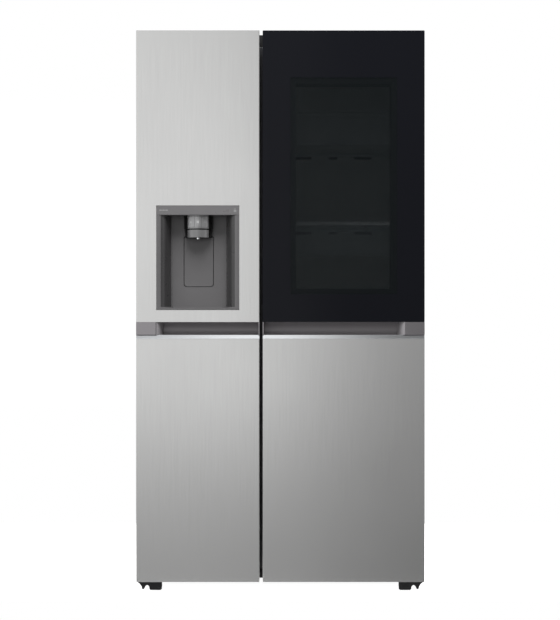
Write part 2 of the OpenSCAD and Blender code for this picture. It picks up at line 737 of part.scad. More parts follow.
// The sloping path of the ice, from the inside of the door down to the nozzle.
module chute_path(r, length) {
    translate([disp_u, nozzle_y, recess_z1 - 6]) rotate([-chute_tilt, 0, 0])
        translate([0, 0, -8]) cylinder(h = length, r = r);
}

module freezer_door_core() color("khaki") on_freezer_door() {
    hole_u = [disp_u - dispenser_w / 2 - hair, disp_u + dispenser_w / 2 + hair];
    hole_z = [dispenser_z - hair, disp_z1 + hair];
    difference() {
        union() {
            door_core(freezer_door_w, sheet, hole_u, hole_z);
            span([hole_u[0] + hair, hole_u[1] - hair], [y_front + housing_t + hair, y_slab - liner_t - fit],
                 [hole_z[0] + hair, hole_z[1] - hair]);
        }
        chute_path(chute_r + 3.2, 150);
    }
}

module freezer_door_skins() color("silver") on_freezer_door() {
    difference() {
        skin(freezer_door_w, grip_z + grip_h, door_z1, cap_z + cap_t);
        dispenser_hole(0.2);
    }
    skin(freezer_door_w, door_z0, grip_z - trim_h, grip_z - trim_h);
}

module freezer_handle_pocket() color("#4c4a4c") on_freezer_door() handle_pocket(freezer_door_w);

module freezer_handle_trim() color("gainsboro") on_freezer_door() handle_trim(freezer_door_w);

module freezer_door_caps() color("#58585c") on_freezer_door() door_caps(freezer_door_w, sheet);

module freezer_door_liner() color("whitesmoke") on_freezer_door() difference() {
    door_liner(freezer_door_w);
    chute_path(chute_r + 3.2, 150);
}

module freezer_gasket() color("#9a9a9c") on_freezer_door() gasket(freezer_door_w);

module freezer_baskets() color([0.85, 0.92, 0.95, 0.6]) on_freezer_door()
    for (z = freezer_basket_z) basket(freezer_door_w, z);

// The plan of the recess, drawn in by i: its sides bulge inward between the frame and the rear wall.
function recess_plan(i) = let (
    side = [for (a = [0 : 10 : 90]) [
        recess_back - i + (recess_half - recess_back) * (1 - sin(a)),
        (recess_t - i) * (1 - cos(a)),
    ]],
    n = len(side)
) concat(
    [[recess_half - i, i > 0 ? 0 : -2]],
    side,
    [for (k = [1 : n]) [-side[n - k][0], side[n - k][1]]],
    [[-recess_half + i, i > 0 ? 0 : -2]]
);

module recess(z, i) {
    translate([disp_u, y_front, z[0]]) linear_extrude(z[1] - z[0]) polygon(recess_plan(i));
}

module dispenser_housing() color("#6a686a") on_freezer_door() difference() {
    dispenser_hole(0);
    translate([0, -2, 0]) span([0, freezer_door_w], [y_front, y_front + 2], [dispenser_z - 5, disp_z1 + 5]);
    recess([dispenser_z + 2.5, recess_z1], 0);
    span([disp_u - dispenser_w / 2 + 0.2, disp_u + dispenser_w / 2 - 0.2], [y_front - 1, y_front + 6],
         [recess_z1 + 0.2, disp_z1 - 0.2]);
    span([disp_u - 120, disp_u + 120], [y_front + 9, y_front + 12], [recess_z1 + 6, disp_z1 - 6]);
    // pocket that the paddle swings into
    round_plate([disp_u - paddle_w / 2 - 1, disp_u + paddle_w / 2 + 1], [paddle_z[0] - 1, paddle_z[1] + 12],
                paddle_y - 0.5, housing_t - recess_t - 2.5, 10);
    rod_x([disp_u - paddle_w / 2 - 5, disp_u + paddle_w / 2 + 5], paddle_y + 6, paddle_z[1], 2.5 + pin_gap);
    chute_path(chute_r + 3.2, 150);
}

module dispenser_strip() color("#777577") on_freezer_door()
    span([disp_u - dispenser_w / 2 + 0.4, disp_u + dispenser_w / 2 - 0.4], [y_front, y_front + 5.8],
         [recess_z1 + 0.4, disp_z1 - 0.4]);

// The nozzle under the display strip, with the chute that joins it and the water spout at its front.
module dispenser_nozzle() color("#303032") on_freezer_door() {
    difference() {
        union() {
            translate([disp_u, nozzle_y, nozzle_z0])
                cylinder(h = groove_z[0] - nozzle_z0, r1 = nozzle_r - 6, r2 = nozzle_r - 1.5);
            translate([disp_u, nozzle_y, groove_z[0]]) cylinder(h = 4, r = nozzle_r - 3);
            translate([disp_u, nozzle_y, groove_z[1]])
                cylinder(h = recess_z1 - groove_z[1] - fit, r = nozzle_r);
            intersection() {
                chute_path(chute_r + 3, 150);
                span([0, freezer_door_w], [y_front, y_slab], [nozzle_z0, 1400]);
            }
        }
        span([disp_u - 80, disp_u + 80], [paddle_y - 0.7, paddle_y + 80], [nozzle_z0 - 1, recess_z1 - 14]);
        span([disp_u - 80, disp_u + 80], [y_front + recess_t - 0.4, y_front + recess_t + 80],
             [nozzle_z0 - 1, recess_z1]);
        difference() {
            span([disp_u - 34, disp_u + 34], [y_front, nozzle_y], [key_z[0] - 0.6, key_z[1] + 0.6]);
            translate([disp_u, nozzle_y, key_z[0] - 2]) cylinder(h = 60, r = nozzle_r - 6);
        }
        translate([disp_u, nozzle_y - 4, nozzle_z0 - 1]) cylinder(h = 40, r = chute_r);
        chute_path(chute_r, 160);
    }
    difference() {
        translate([disp_u, nozzle_y - nozzle_r + 13, nozzle_z0 - 5]) cylinder(h = 12, r = 5);
        translate([disp_u, nozzle_y - nozzle_r + 13, nozzle_z0 - 6]) cylinder(h = 12, r = 3);
    }
}

module dispenser_paddle() color("#636163") on_freezer_door() {
    round_plate([disp_u - paddle_w / 2, disp_u + paddle_w / 2], [paddle_z[0], paddle_z[1] - 6],
                paddle_y, 3.5, 9);
    rod_x([disp_u - paddle_w / 2, disp_u + paddle_w / 2], paddle_y + 6, paddle_z[1], 4);
    span([disp_u - paddle_w / 2, disp_u + paddle_w / 2], [paddle_y + 1, paddle_y + 4.5],
         [paddle_z[1] - 20, paddle_z[1]]);
    rod_x([disp_u - paddle_w / 2 - 4.5, disp_u + paddle_w / 2 + 4.5], paddle_y + 6, paddle_z[1], 2.5);
}

// A push key: a piece of a ring, so that the keys complete the nozzle's round front.
module key(i) color("#8a888a") on_freezer_door() intersection() {
    difference() {
        translate([disp_u, nozzle_y, key_z[0]]) cylinder(h = key_z[1] - key_z[0], r = nozzle_r + 0.4);
        translate([disp_u, nozzle_y, key_z[0] - 1]) cylinder(h = 60, r = nozzle_r - 3.5);
    }
    span([disp_u + i * key_pitch - key_w / 2, disp_u + i * key_pitch + key_w / 2],
         [y_front, nozzle_y], key_z);
}

module water_button() key(-1);

module cubed_button() key(0);

module crushed_button() key(1);

module drip_tray() color("#5c5a5c") on_freezer_door() difference() {
    recess(tray_z, 1);
    recess([tray_z[1] - 2.5, tray_z[1] + 1], 7);
    for (i = [-3 : 3])
        translate([disp_u + i * 20 - 5, y_front + 18, tray_z[0] + 1.2]) cube([10, 34, 20]);
}

// The ice bin, and the ice maker that fills it from above.
module ice_bin() color([0.88, 0.93, 0.96, 0.8]) on_freezer_door() {
    u = [basket_u0, freezer_door_w - dyke_free - dyke_w - 2];
    difference() {
        tub(u, [y_slab + 1, basket_y1], [1242, 1560], 3, 16);
        chute_path(chute_r + 3.2, 150);
    }
    difference() {
        translate([0, 0, 1570]) linear_extrude(85) round_rect(u, [y_slab + 1, basket_y1 - 8], 10);
        for (i = [0 : 6])
            translate([u[0] + 18 + i * 29, y_slab + 22, 1625]) cube([22, 62, 40]);
    }
}

// ---------- fridge door ----------

window_us = [window_u, window_u + window_w];
window_zs = [window_z, window_z + window_h];
glass_t = 4;
surround_w = 17;

module fridge_door_core() color("khaki") on_fridge_door()
    door_core(fridge_door_w, glass_t, [window_us[0] - fit, window_us[1] + fit],
              [window_zs[0] - fit, window_zs[1] + fit]);

module fridge_front_glass() color("#1b1c20") on_fridge_door()
    span([0, fridge_door_w], [y_front, y_front + glass_t], [grip_z + grip_h, door_z1]);

module fridge_upper_wrap() color("#3c3c3e") on_fridge_door() difference() {
    span([0, fridge_door_w], [y_front + glass_t + fit, skin_back], [grip_z + grip_h, cap_z + cap_t]);
    span([sheet, fridge_door_w - sheet], [y_front, y_slab], [grip_z, door_z1]);
}

module fridge_lower_skin() color("silver") on_fridge_door()
    skin(fridge_door_w, door_z0, grip_z - trim_h, grip_z - trim_h);

module fridge_handle_pocket() color("#4c4a4c") on_fridge_door() handle_pocket(fridge_door_w);

module fridge_handle_trim() color("gainsboro") on_fridge_door() handle_trim(fridge_door_w);

module fridge_door_caps() color("#58585c") on_fridge_door() door_caps(fridge_door_w, glass_t);

module fridge_door_liner() color("whitesmoke") on_fridge_door() difference() {
    door_liner(fridge_door_w);
    span([window_us[0] + surround_w, window_us[1] - surround_w], [y_slab - 10, y_slab + 10],
         [window_zs[0] + surround_w, window_zs[1] - surround_w]);
}

module fridge_gasket() color("#9a9a9c") on_fridge_door() gasket(fridge_door_w);

module fridge_baskets() color([0.85, 0.92, 0.95, 0.6]) on_fridge_door()
    for (z = fridge_basket_z) basket(fridge_door_w, z);

// The inner panes of the insulating glass, one behind the front glass and one at the liner.
module window_panes() color([0.2, 0.25, 0.25, 0.5]) on_fridge_door()
    for (y = [y_front + 16, y_slab - 12])
        span([window_us[0] + 2.2, window_us[1] - 2.2], [y, y + 4], [window_zs[0] + 2.2, window_zs[1] - 2.2]);

// The frame that lines the window's opening and holds the panes in grooves.
module window_surround() color("#232527") on_fridge_door() difference() {
    span(window_us, [y_front + glass_t + fit, y_slab - liner_t - fit], window_zs);
    span([window_us[0] + surround_w, window_us[1] - surround_w], [y_front, y_slab],
         [window_zs[0] + surround_w, window_zs[1] - surround_w]);
    for (y = [y_front + 16, y_slab - 12])
        span([window_us[0] + 2, window_us[1] - 2], [y - fit, y + 4 + fit],
             [window_zs[0] + 2, window_zs[1] - 2]);
}

// ---------- one line per node ----------

case_panels();
front_frame();
rear_panel();
base_pan();
cabinet_foam();
cabinet_liners();
top_covers();
top_hinges();
lower_hinges();
machine_cover();
compressor();
condenser();
fan_shroud();
condenser_fan();
drain_pan();
rear_connections();
duct_panel();
shelf_frames();
shelf_panes();
evaporator_cover();
evaporator();
evaporator_fan();
freezer_shelves();
left_foot();
right_foot();
left_roller();
right_roller();
upper_crisper();
lower_crisper();
upper_freezer_drawer();
lower_freezer_drawer();
freezer_door_core();
freezer_door_skins();
freezer_handle_pocket();
freezer_handle_trim();
freezer_door_caps();
freezer_door_liner();
freezer_gasket();
freezer_baskets();
dispenser_housing();
dispenser_strip();
dispenser_nozzle();
dispenser_paddle();
water_button();
cubed_button();
crushed_button();
drip_tray();
ice_bin();
fridge_door_core();
fridge_front_glass();
fridge_upper_wrap();
fridge_lower_skin();
fridge_handle_pocket();
fridge_handle_trim();
fridge_door_caps();
fridge_door_liner();
fridge_gasket();
fridge_baskets();
window_panes();
window_surround();
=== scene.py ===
"""Looks for the side by side refrigerator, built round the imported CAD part. Lengths are in metres."""

import json
import math

import bmesh
import bpy
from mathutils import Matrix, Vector


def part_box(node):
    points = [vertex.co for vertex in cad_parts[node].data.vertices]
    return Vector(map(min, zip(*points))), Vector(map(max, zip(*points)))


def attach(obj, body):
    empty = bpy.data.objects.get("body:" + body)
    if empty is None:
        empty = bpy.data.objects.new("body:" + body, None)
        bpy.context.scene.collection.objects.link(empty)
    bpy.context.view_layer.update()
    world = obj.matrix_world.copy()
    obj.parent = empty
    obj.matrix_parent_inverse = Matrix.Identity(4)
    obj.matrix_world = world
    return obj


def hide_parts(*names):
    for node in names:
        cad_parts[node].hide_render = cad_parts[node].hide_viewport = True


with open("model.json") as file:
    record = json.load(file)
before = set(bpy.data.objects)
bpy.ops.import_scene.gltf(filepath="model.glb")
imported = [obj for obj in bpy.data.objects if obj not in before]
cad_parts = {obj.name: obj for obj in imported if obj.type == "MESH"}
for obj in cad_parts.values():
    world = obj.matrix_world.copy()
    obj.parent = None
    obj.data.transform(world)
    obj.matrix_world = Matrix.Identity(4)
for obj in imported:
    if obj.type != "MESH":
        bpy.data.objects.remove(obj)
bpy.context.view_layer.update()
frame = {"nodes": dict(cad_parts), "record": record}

MM = 0.001
X, Y, Z = range(3)
ARC_STEPS = 6
OUTWARD = (0, -1, 0)
INWARD = (0, 1, 0)


def span(box, axis):
    """A box's two ends on one axis."""
    return (box[0][axis], box[1][axis])


# Boxes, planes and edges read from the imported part
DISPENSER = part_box("dispenser_housing")
DISPENSER_X = (DISPENSER[0].x + DISPENSER[1].x) / 2
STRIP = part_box("dispenser_strip")
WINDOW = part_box("window_surround")
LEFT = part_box("freezer_gasket")[0].x - 24 * MM
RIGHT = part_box("fridge_gasket")[1].x + 24 * MM
FREEZER_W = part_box("freezer_handle_trim")[1].x - LEFT
FRIDGE_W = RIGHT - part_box("fridge_handle_trim")[0].x
FRONT, SKIN_BACK = span(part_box("freezer_door_skins"), Y)
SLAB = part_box("freezer_gasket")[0].y
DOOR_Z0, DOOR_Z1 = span(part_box("freezer_door_skins"), Z)
TRIM_Z0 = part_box("fridge_lower_skin")[1].z
UPPER_Z0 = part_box("fridge_front_glass")[0].z
SIDE_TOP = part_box("fridge_upper_wrap")[1].z

# Thicknesses of the sheets, and the height of a raised sign
STEEL_SHEET = 0.8 * MM
LINER_SHEET = 1.4 * MM
RECESS_SHEET = 1.2 * MM
SIGN_HEIGHT = 0.3 * MM

# Angles beyond which an edge is drawn sharp, in a made mesh and in a CAD node, or is rounded
MESH_SHARP = math.radians(38)
NODE_SHARP = math.radians(32)
ROUNDED_ABOVE = math.radians(40)

# The corners of the steel skins, and the steps that draw one
SKIN_CORNER = 2.0 * MM
SKIN_STEPS = 4

# How far the rim of a basket or a drawer reaches out, in mm, and a basket's height
RIM_REACH = 1.2
BASKET_HEIGHT = 100 * MM

# The rear panel's beads stand out this far, and its screws have heads of this radius
BEAD_DEPTH = 2.5 * MM
SCREW_RADIUS = 4 * MM

# The dispenser's recess: its depth, half its width at the back, and how much wider its mouth is
RECESS_DEPTH = 64 * MM
RECESS_HALF = 88.5 * MM
RECESS_FLARE = 34.65 * MM

# The nozzle's round front: its axis behind the door's front, the radii of the keys and the bands, the
# keys' pitch, and half the width of a key and of a band
NOZZLE_AXIS = 55 * MM
KEY_RADIUS = 47.4 * MM
BAND_RADIUS = 47.3 * MM
KEY_PITCH = 22.5 * MM
KEY_HALF = 11.05 * MM
BAND_HALF = 33.6 * MM

# The camera's distance from the doors, its place and its lens in mm
CAMERA_DISTANCE = 5.0
CAMERA_X = -0.0011
CAMERA_Z = 0.9005
CAMERA_LENS = 91.8

# The world's light: its strength low on the right, and what the left, the upper part and both add
DIM = 0.165
ADDED_LEFT = 0.205
ADDED_UPPER = 0.173
ADDED_BOTH = 0.487


# ---------- materials ----------

def add_node(tree, kind, inputs=None, **settings):
    """Adds a node with these settings and inputs; an input that is a socket gets linked."""
    node = tree.nodes.new(kind)
    for name, value in settings.items():
        setattr(node, name, value)
    for name, value in (inputs or {}).items():
        if isinstance(value, bpy.types.NodeSocket):
            tree.links.new(value, node.inputs[name])
        else:
            node.inputs[name].default_value = value
    return node


def new_material(name, colour, roughness, metallic=0.0, sockets=None):
    """A Principled material with plain values on the shader's own sockets."""
    material = bpy.data.materials.new(name)
    material.use_nodes = True
    values = {"Base Color": (*colour, 1.0), "Roughness": roughness, "Metallic": metallic}
    values.update(sockets or {})
    for socket, value in values.items():
        shader_of(material).inputs[socket].default_value = value
    return material


def shader_of(material):
    return material.node_tree.nodes["Principled BSDF"]


def drive(material, value, socket):
    """Links a value to one of the shader's sockets."""
    material.node_tree.links.new(value, shader_of(material).inputs[socket])


def mapped(material, stretch):
    """Object coordinates, scaled on each axis."""
    tree = material.node_tree
    place = add_node(tree, "ShaderNodeTexCoord").outputs["Object"]
    return add_node(tree, "ShaderNodeMapping", {"Scale": stretch, "Vector": place}).outputs["Vector"]


def noise(material, scale, stretch=(1, 1, 1), detail=3.0):
    """A noise pattern with so many grains to the metre."""
    inputs = {"Scale": scale, "Detail": detail, "Vector": mapped(material, stretch)}
    return add_node(material.node_tree, "ShaderNodeTexNoise", inputs).outputs["Fac"]


def cells(material, scale, output):
    """A pattern of cells with so many to the metre."""
    inputs = {"Scale": scale, "Vector": mapped(material, (1, 1, 1))}
    return add_node(material.node_tree, "ShaderNodeTexVoronoi", inputs).outputs[output]


def ranged(tree, value, low, high, start=0.3, end=0.7, curve="LINEAR"):
    """The value's range from start to end, mapped to low and high."""
    inputs = {"Value": value, "From Min": start, "From Max": end, "To Min": low, "To Max": high}
    return add_node(tree, "ShaderNodeMapRange", inputs, interpolation_type=curve).outputs["Result"]


def vary_roughness(material, value, low, high):
    drive(material, ranged(material.node_tree, value, low, high), "Roughness")


def vary_colour(material, value, dark, light, start=0.3, end=0.7):
    """Runs the base colour from dark to light with the value."""
    tree = material.node_tree
    factor = ranged(tree, value, 0.0, 1.0, start, end)
    inputs = {"A": (*dark, 1.0), "B": (*light, 1.0), "Factor": factor}
    drive(material, add_node(tree, "ShaderNodeMix", inputs, data_type="RGBA").outputs["Result"], "Base Color")


def add_bump(material, height, depth, strength):
    """Adds a bump of that depth in metres."""
    inputs = {"Distance": depth, "Strength": strength, "Height": height}
    drive(material, add_node(material.node_tree, "ShaderNodeBump", inputs).outputs["Normal"], "Normal")


def scaled(colour, factor):
    return tuple(min(1.0, part * factor) for part in colour)


def surfaced(name, colour, roughness, tone, gloss, relief, metallic=0.0, sockets=None):
    """A material whose tone, gloss and relief each follow a noise of their own.

    tone is (grains to the metre, dark, light) with factors of the colour, gloss is (grains, low, high)
    with roughnesses, and relief is (grains, depth in metres, strength, detail).
    """
    material = new_material(name, colour, roughness, metallic, sockets)
    grains, dark, light = tone
    vary_colour(material, noise(material, grains), scaled(colour, dark), scaled(colour, light))
    grains, low, high = gloss
    vary_roughness(material, noise(material, grains), low, high)
    grains, depth, strength, detail = relief
    add_bump(material, noise(material, grains, detail=detail), depth, strength)
    return material


def moulded(name, colour, roughness, grain=700.0, depth=0.03 * MM, sockets=None):
    """Moulded plastic with a fine spark-eroded grain and a faint change of tone."""
    gloss = (40.0, roughness - 0.04, roughness + 0.05)
    return surfaced(name, colour, roughness, (6.0, 0.93, 1.06), gloss, (grain, depth, 0.35, 2.0),
                    sockets=sockets)


def brushed(name, colour, roughness, stretch, metallic=1.0):
    """Brushed metal: long fine strokes, thin across and long along the axis that stretch makes small."""
    material = new_material(name, colour, roughness, metallic)
    strokes = noise(material, 1.0, stretch, detail=4.0)
    vary_colour(material, strokes, scaled(colour, 0.965), scaled(colour, 1.035))
    vary_roughness(material, noise(material, 2.0), roughness - 0.015, roughness + 0.02)
    add_bump(material, strokes, 0.012 * MM, 0.25)
    return material


def brushed_steel():
    return brushed("brushed_steel", (0.665, 0.665, 0.66), 0.19, (1400, 1400, 9))


def trim_aluminium():
    return brushed("trim_aluminium", (0.86, 0.88, 0.9), 0.15, (6, 900, 900))


def dark_brushed(name):
    """The dark brushed metal of the keys and of the bands round them."""
    return brushed(name, (0.36, 0.36, 0.365), 0.34, (20, 1100, 1100), 0.7)


def painted_case():
    """Powder coat with a slight orange peel."""
    return surfaced("painted_case", (0.42, 0.43, 0.44), 0.38, (3.0, 0.97, 1.03), (30.0, 0.34, 0.44),
                    (260.0, 0.05 * MM, 0.3, 3.0), sockets={"Coat Weight": 0.15})


def dark_frame():
    return surfaced("dark_frame", (0.05, 0.05, 0.055), 0.42, (8.0, 0.9, 1.12), (60.0, 0.38, 0.5),
                    (500.0, 0.03 * MM, 0.25, 3.0))


def galvanised():
    """Zinc coating with its angular spangle."""
    material = new_material("galvanised", (0.55, 0.56, 0.57), 0.42, 0.85)
    spangle = cells(material, 70.0, "Color")
    vary_colour(material, spangle, (0.46, 0.47, 0.48), (0.64, 0.65, 0.66), 0.0, 1.0)
    vary_roughness(material, spangle, 0.36, 0.5)
    add_bump(material, noise(material, 120.0), 0.04 * MM, 0.2)
    return material


def black_enamel():
    return surfaced("black_enamel", (0.02, 0.02, 0.022), 0.3, (20.0, 0.8, 1.4), (45.0, 0.26, 0.38),
                    (180.0, 0.06 * MM, 0.3, 3.0), sockets={"Coat Weight": 0.3})


def foam():
    """Rigid foam with an open cell structure and darker crust patches."""
    material = new_material("foam", (0.85, 0.78, 0.5), 0.95)
    vary_colour(material, noise(material, 14.0), (0.72, 0.62, 0.36), (0.87, 0.81, 0.56))
    add_bump(material, cells(material, 420.0, "Distance"), 0.4 * MM, 0.7)
    return material


def white_liner():
    """Vacuum-formed polystyrene: glossy, with a faint waviness."""
    return surfaced("white_liner", (0.86, 0.87, 0.87), 0.28, (2.5, 0.975, 1.01), (25.0, 0.27, 0.32),
                    (6.0, 0.1 * MM, 0.15, 0.0))


def fin_aluminium():
    return surfaced("fin_aluminium", (0.75, 0.76, 0.77), 0.35, (35.0, 0.86, 1.04), (90.0, 0.28, 0.48),
                    (400.0, 0.03 * MM, 0.3, 3.0), 1.0)


def seal_rubber():
    return surfaced("seal_rubber", (0.42, 0.42, 0.43), 0.62, (30.0, 0.9, 1.08), (110.0, 0.55, 0.72),
                    (900.0, 0.02 * MM, 0.4, 3.0))


def see_through(name, colour, roughness, alpha, wear, specular=0.5):
    """Clear or frosted material: a constant clearness, with handling marks in its gloss."""
    return surfaced(name, colour, roughness, (4.0, 0.97, 1.02), (wear, roughness, roughness + 0.1),
                    (9.0, 0.1 * MM, 0.2, 1.0), sockets={"Alpha": alpha, "Specular IOR Level": specular})


def clear_glass():
    return see_through("clear_glass", (0.8, 0.9, 0.88), 0.03, 0.22, 30.0)


def frosted_plastic():
    return see_through("frosted_plastic", (0.82, 0.9, 0.94), 0.32, 0.5, 60.0)


def clear_plastic():
    return see_through("clear_plastic", (0.7, 0.8, 0.84), 0.1, 0.07, 40.0)


def thick_clear_plastic():
    return see_through("thick_clear_plastic", (0.7, 0.8, 0.84), 0.1, 0.2, 40.0)


def polished_glass(name, colour, alpha=1.0):
    """Dark glass with a polished face and the faintest smears in its gloss."""
    return surfaced(name, colour, 0.03, (2.0, 0.95, 1.05), (18.0, 0.02, 0.06), (5.0, 0.02 * MM, 0.15, 1.0),
                    sockets={"Specular IOR Level": 0.06, "Alpha": alpha})


def black_glass():
    return polished_glass("black_glass", (0.0066, 0.0070, 0.0094))


def tinted_glass():
    return polished_glass("tinted_glass", (0.0070, 0.0088, 0.0098), 0.55)


def pane_glass():
    return see_through("pane_glass", (0.05, 0.07, 0.07), 0.03, 0.05, 30.0, 0.15)


def grip_plastic():
    """A metallic lacquer on the front face, and the bare matte plastic inside the grip."""
    lacquer = (0.3, 0.286, 0.298)
    inside = (0.31, 0.295, 0.307)
    material = new_material("grip_plastic", lacquer, 0.24, 1.0)
    tree = material.node_tree
    split = add_node(tree, "ShaderNodeSeparateXYZ", {0: mapped(material, (1, 1, 1))})
    depth = split.outputs["Y"]
    edge = (FRONT + 1 * MM, FRONT + 2 * MM)
    vary_colour(material, depth, lacquer, inside, *edge)
    drive(material, ranged(tree, depth, 1.0, 0.25, *edge), "Metallic")
    drive(material, ranged(tree, depth, 0.2, 0.45, *edge), "Roughness")
    add_bump(material, noise(material, 700.0, detail=2.0), 0.02 * MM, 0.3)
    return material


def lamp_cover():
    """The milky cover of a lamp, lit from behind."""
    values = {"Emission Color": (1.0, 0.98, 0.94, 1.0), "Emission Strength": 1.1}
    material = new_material("lamp_cover", (0.95, 0.97, 1.0), 0.4, sockets=values)
    vary_roughness(material, noise(material, 80.0), 0.34, 0.46)
    add_bump(material, noise(material, 300.0), 0.03 * MM, 0.3)
    return material


def studio_floor():
    """A plain pale studio floor with a faint mottle."""
    values = {"Emission Color": (1.0, 1.0, 1.0, 1.0), "Emission Strength": 0.95}
    material = new_material("studio_floor", (0.9, 0.9, 0.9), 0.6, sockets=values)
    vary_colour(material, noise(material, 3.0), (0.89, 0.89, 0.89), (0.92, 0.92, 0.92))
    return material


# Moulded plastics and paints: colour, roughness, and what differs from moulded's usual values
MOULDED = {
    "dark_plastic": ((0.011, 0.011, 0.0115), 0.5),
    "fan_plastic": ((0.25, 0.26, 0.27), 0.45),
    "pan_plastic": ((0.12, 0.125, 0.13), 0.5),
    "fitting_plastic": ((0.75, 0.75, 0.72), 0.42),
    "shelf_trim": ((0.8, 0.84, 0.86), 0.25, 300.0, 0.02 * MM),
    "foot_plastic": ((0.012, 0.012, 0.012), 0.5),
    "cap_plastic": ((0.12, 0.12, 0.125), 0.5),
    "dispenser_plastic": ((0.125, 0.122, 0.125), 0.4),
    "strip_plastic": ((0.142, 0.138, 0.142), 0.3, 500.0, 0.01 * MM),
    "nozzle_plastic": ((0.01, 0.01, 0.01), 0.16, 500.0, 0.01 * MM),
    "surround_plastic": ((0.032, 0.037, 0.04), 0.5),
    # Darker and a little glossier than the dispenser plastic: the dark colour is painted shade on the
    # recess's side walls and in the paddle's pocket
    "recess_painted_shade": ((0.045, 0.044, 0.045), 0.3, 600.0, 0.015 * MM),
    "printed_sign": ((0.42, 0.42, 0.42), 0.45),
    "strip_print": ((0.27, 0.27, 0.27), 0.5),
    "underside_paint": ((0.012, 0.012, 0.0125), 0.6, 700.0, 0.03 * MM, {"Specular IOR Level": 0.1}),
}

# Functions that make the material of their own name
MAKERS = (
    brushed_steel, trim_aluminium, painted_case, dark_frame, galvanised, black_enamel, foam, white_liner,
    fin_aluminium, seal_rubber, clear_glass, frosted_plastic, clear_plastic, thick_clear_plastic,
    black_glass, grip_plastic, lamp_cover,
)

# Each slot's material under the slot's name, and the materials of single pieces and nodes
MATERIALS = {make.__name__: make() for make in MAKERS}
MATERIALS.update({name: moulded(name, *look) for name, look in MOULDED.items()})
MATERIALS.update({name: dark_brushed(name) for name in ("key_metal", "nozzle_band")})
MATERIALS.update({"tinted_glass": pane_glass(), "window_glass": tinted_glass()})

# Nodes that look darker than the rest of their slot
LOOKS = {
    "window_surround": "surround_plastic", "base_pan": "underside_paint",
    "lower_hinges": "underside_paint", "left_foot": "underside_paint", "right_foot": "underside_paint",
}


# ---------- mesh tools ----------

def arc(cx, cy, r, start, end, steps=ARC_STEPS):
    """Points on an arc, with the angles in degrees."""
    points = []
    for i in range(steps + 1):
        angle = math.radians(start + (end - start) * i / steps)
        points.append((cx + r * math.cos(angle), cy + r * math.sin(angle)))
    return points


def rounded(a, b, r, steps=ARC_STEPS):
    """A closed outline with round corners, between two values on each of two axes."""
    centres = ((a[1] - r, b[0] + r), (a[1] - r, b[1] - r), (a[0] + r, b[1] - r), (a[0] + r, b[0] + r))
    outline = []
    for k, (cx, cy) in enumerate(centres):
        outline += arc(cx, cy, r, 90 * k - 90, 90 * k, steps)
    return outline


def upright(outline, y):
    """An outline of x and z, stood up at that y."""
    return [Vector((x, y, z)) for x, z in outline]


def lying(outline, z):
    """An outline of x and y, laid at that height."""
    return [Vector((x, y, z)) for x, y in outline]


def inset(pair, amount):
    return (pair[0] + amount, pair[1] - amount)


def shrunk(a, b, amount, corner):
    """A rounded outline, drawn in on all sides; the amount and the corner's radius are in mm."""
    return rounded(inset(a, amount * MM), inset(b, amount * MM), corner * MM)


def rings(x, z, base, shape):
    """Upright rounded outlines: shape says how far each is drawn in and moved back, and its corner, in mm."""
    return [upright(shrunk(x, z, amount, corner), base + back * MM) for amount, back, corner in shape]


def loft(bm, rows, closed=True, wrap=False, caps=(False, False)):
    """Joins rows of points with faces.

    closed joins each row's ends, wrap joins the last row to the first, and caps says whether the first
    and the last row get a face of their own. It returns the rows of points and those faces.
    """
    made = [[bm.verts.new(point) for point in row] for row in rows]
    count = len(rows[0])
    for k in range(len(made) if wrap else len(made) - 1):
        low = made[k]
        high = made[(k + 1) % len(made)]
        for i in range(count if closed else count - 1):
            j = (i + 1) % count
            bm.faces.new((low[i], low[j], high[j], high[i]))
    ends = []
    if caps[0]:
        ends.append(bm.faces.new(list(reversed(made[0]))))
    if caps[1]:
        ends.append(bm.faces.new(made[-1]))
    return made, ends


def block(bm, x, y, z):
    """A box between two values on each axis; the piece's bevel rounds its edges."""
    floor = [(x[0], y[0]), (x[1], y[0]), (x[1], y[1]), (x[0], y[1])]
    loft(bm, [lying(floor, z[0]), lying(floor, z[1])], caps=(True, True))


def lathe(bm, centre, axis, profile, steps, caps=(False, False), wrap=False):
    """Turns a profile of (radius, distance along the axis) round the axis."""
    axis = Vector(axis).normalized()
    side = axis.orthogonal().normalized()
    other = axis.cross(side)
    rows = []
    for radius, along in profile:
        row = []
        for i in range(steps):
            angle = 2 * math.pi * i / steps
            out = side * math.cos(angle) + other * math.sin(angle)
            row.append(Vector(centre) + axis * along + out * radius)
        rows.append(row)
    loft(bm, rows, caps=caps, wrap=wrap)


def islands(bm):
    """The groups of faces that hang together."""
    left = set(bm.faces)
    while left:
        group = []
        queue = [left.pop()]
        while queue:
            face = queue.pop()
            group.append(face)
            for edge in face.edges:
                for other in edge.link_faces:
                    if other in left:
                        left.remove(other)
                        queue.append(other)
        yield group


def face_toward(bm, direction):
    """Turns every open sheet so that it faces the direction on the whole."""
    for group in list(islands(bm)):
        if sum(face.calc_area() * face.normal.dot(direction) for face in group) < 0:
            bmesh.ops.reverse_faces(bm, faces=group)


def finish_mesh(name, bm, facing=None):
    """Makes a mesh object of the bmesh, smooth but for its sharp edges."""
    bmesh.ops.remove_doubles(bm, verts=bm.verts, dist=0.001 * MM)
    bmesh.ops.recalc_face_normals(bm, faces=bm.faces)
    if facing:
        face_toward(bm, Vector(facing))
    mesh = bpy.data.meshes.new(name)
    bm.to_mesh(mesh)
    bm.free()
    mesh.shade_smooth()
    mesh.set_sharp_from_angle(angle=MESH_SHARP)
    obj = bpy.data.objects.new(name, mesh)
    bpy.context.scene.collection.objects.link(obj)
    return obj


def round_edges(obj, width):
    """Rounds the sharp edges in two steps."""
    bevel = obj.modifiers.new("round_edges", "BEVEL")
    bevel.width = width
    bevel.segments = 2
    bevel.limit_method = "ANGLE"
    bevel.angle_limit = ROUNDED_ABOVE
    bevel.harden_normals = True


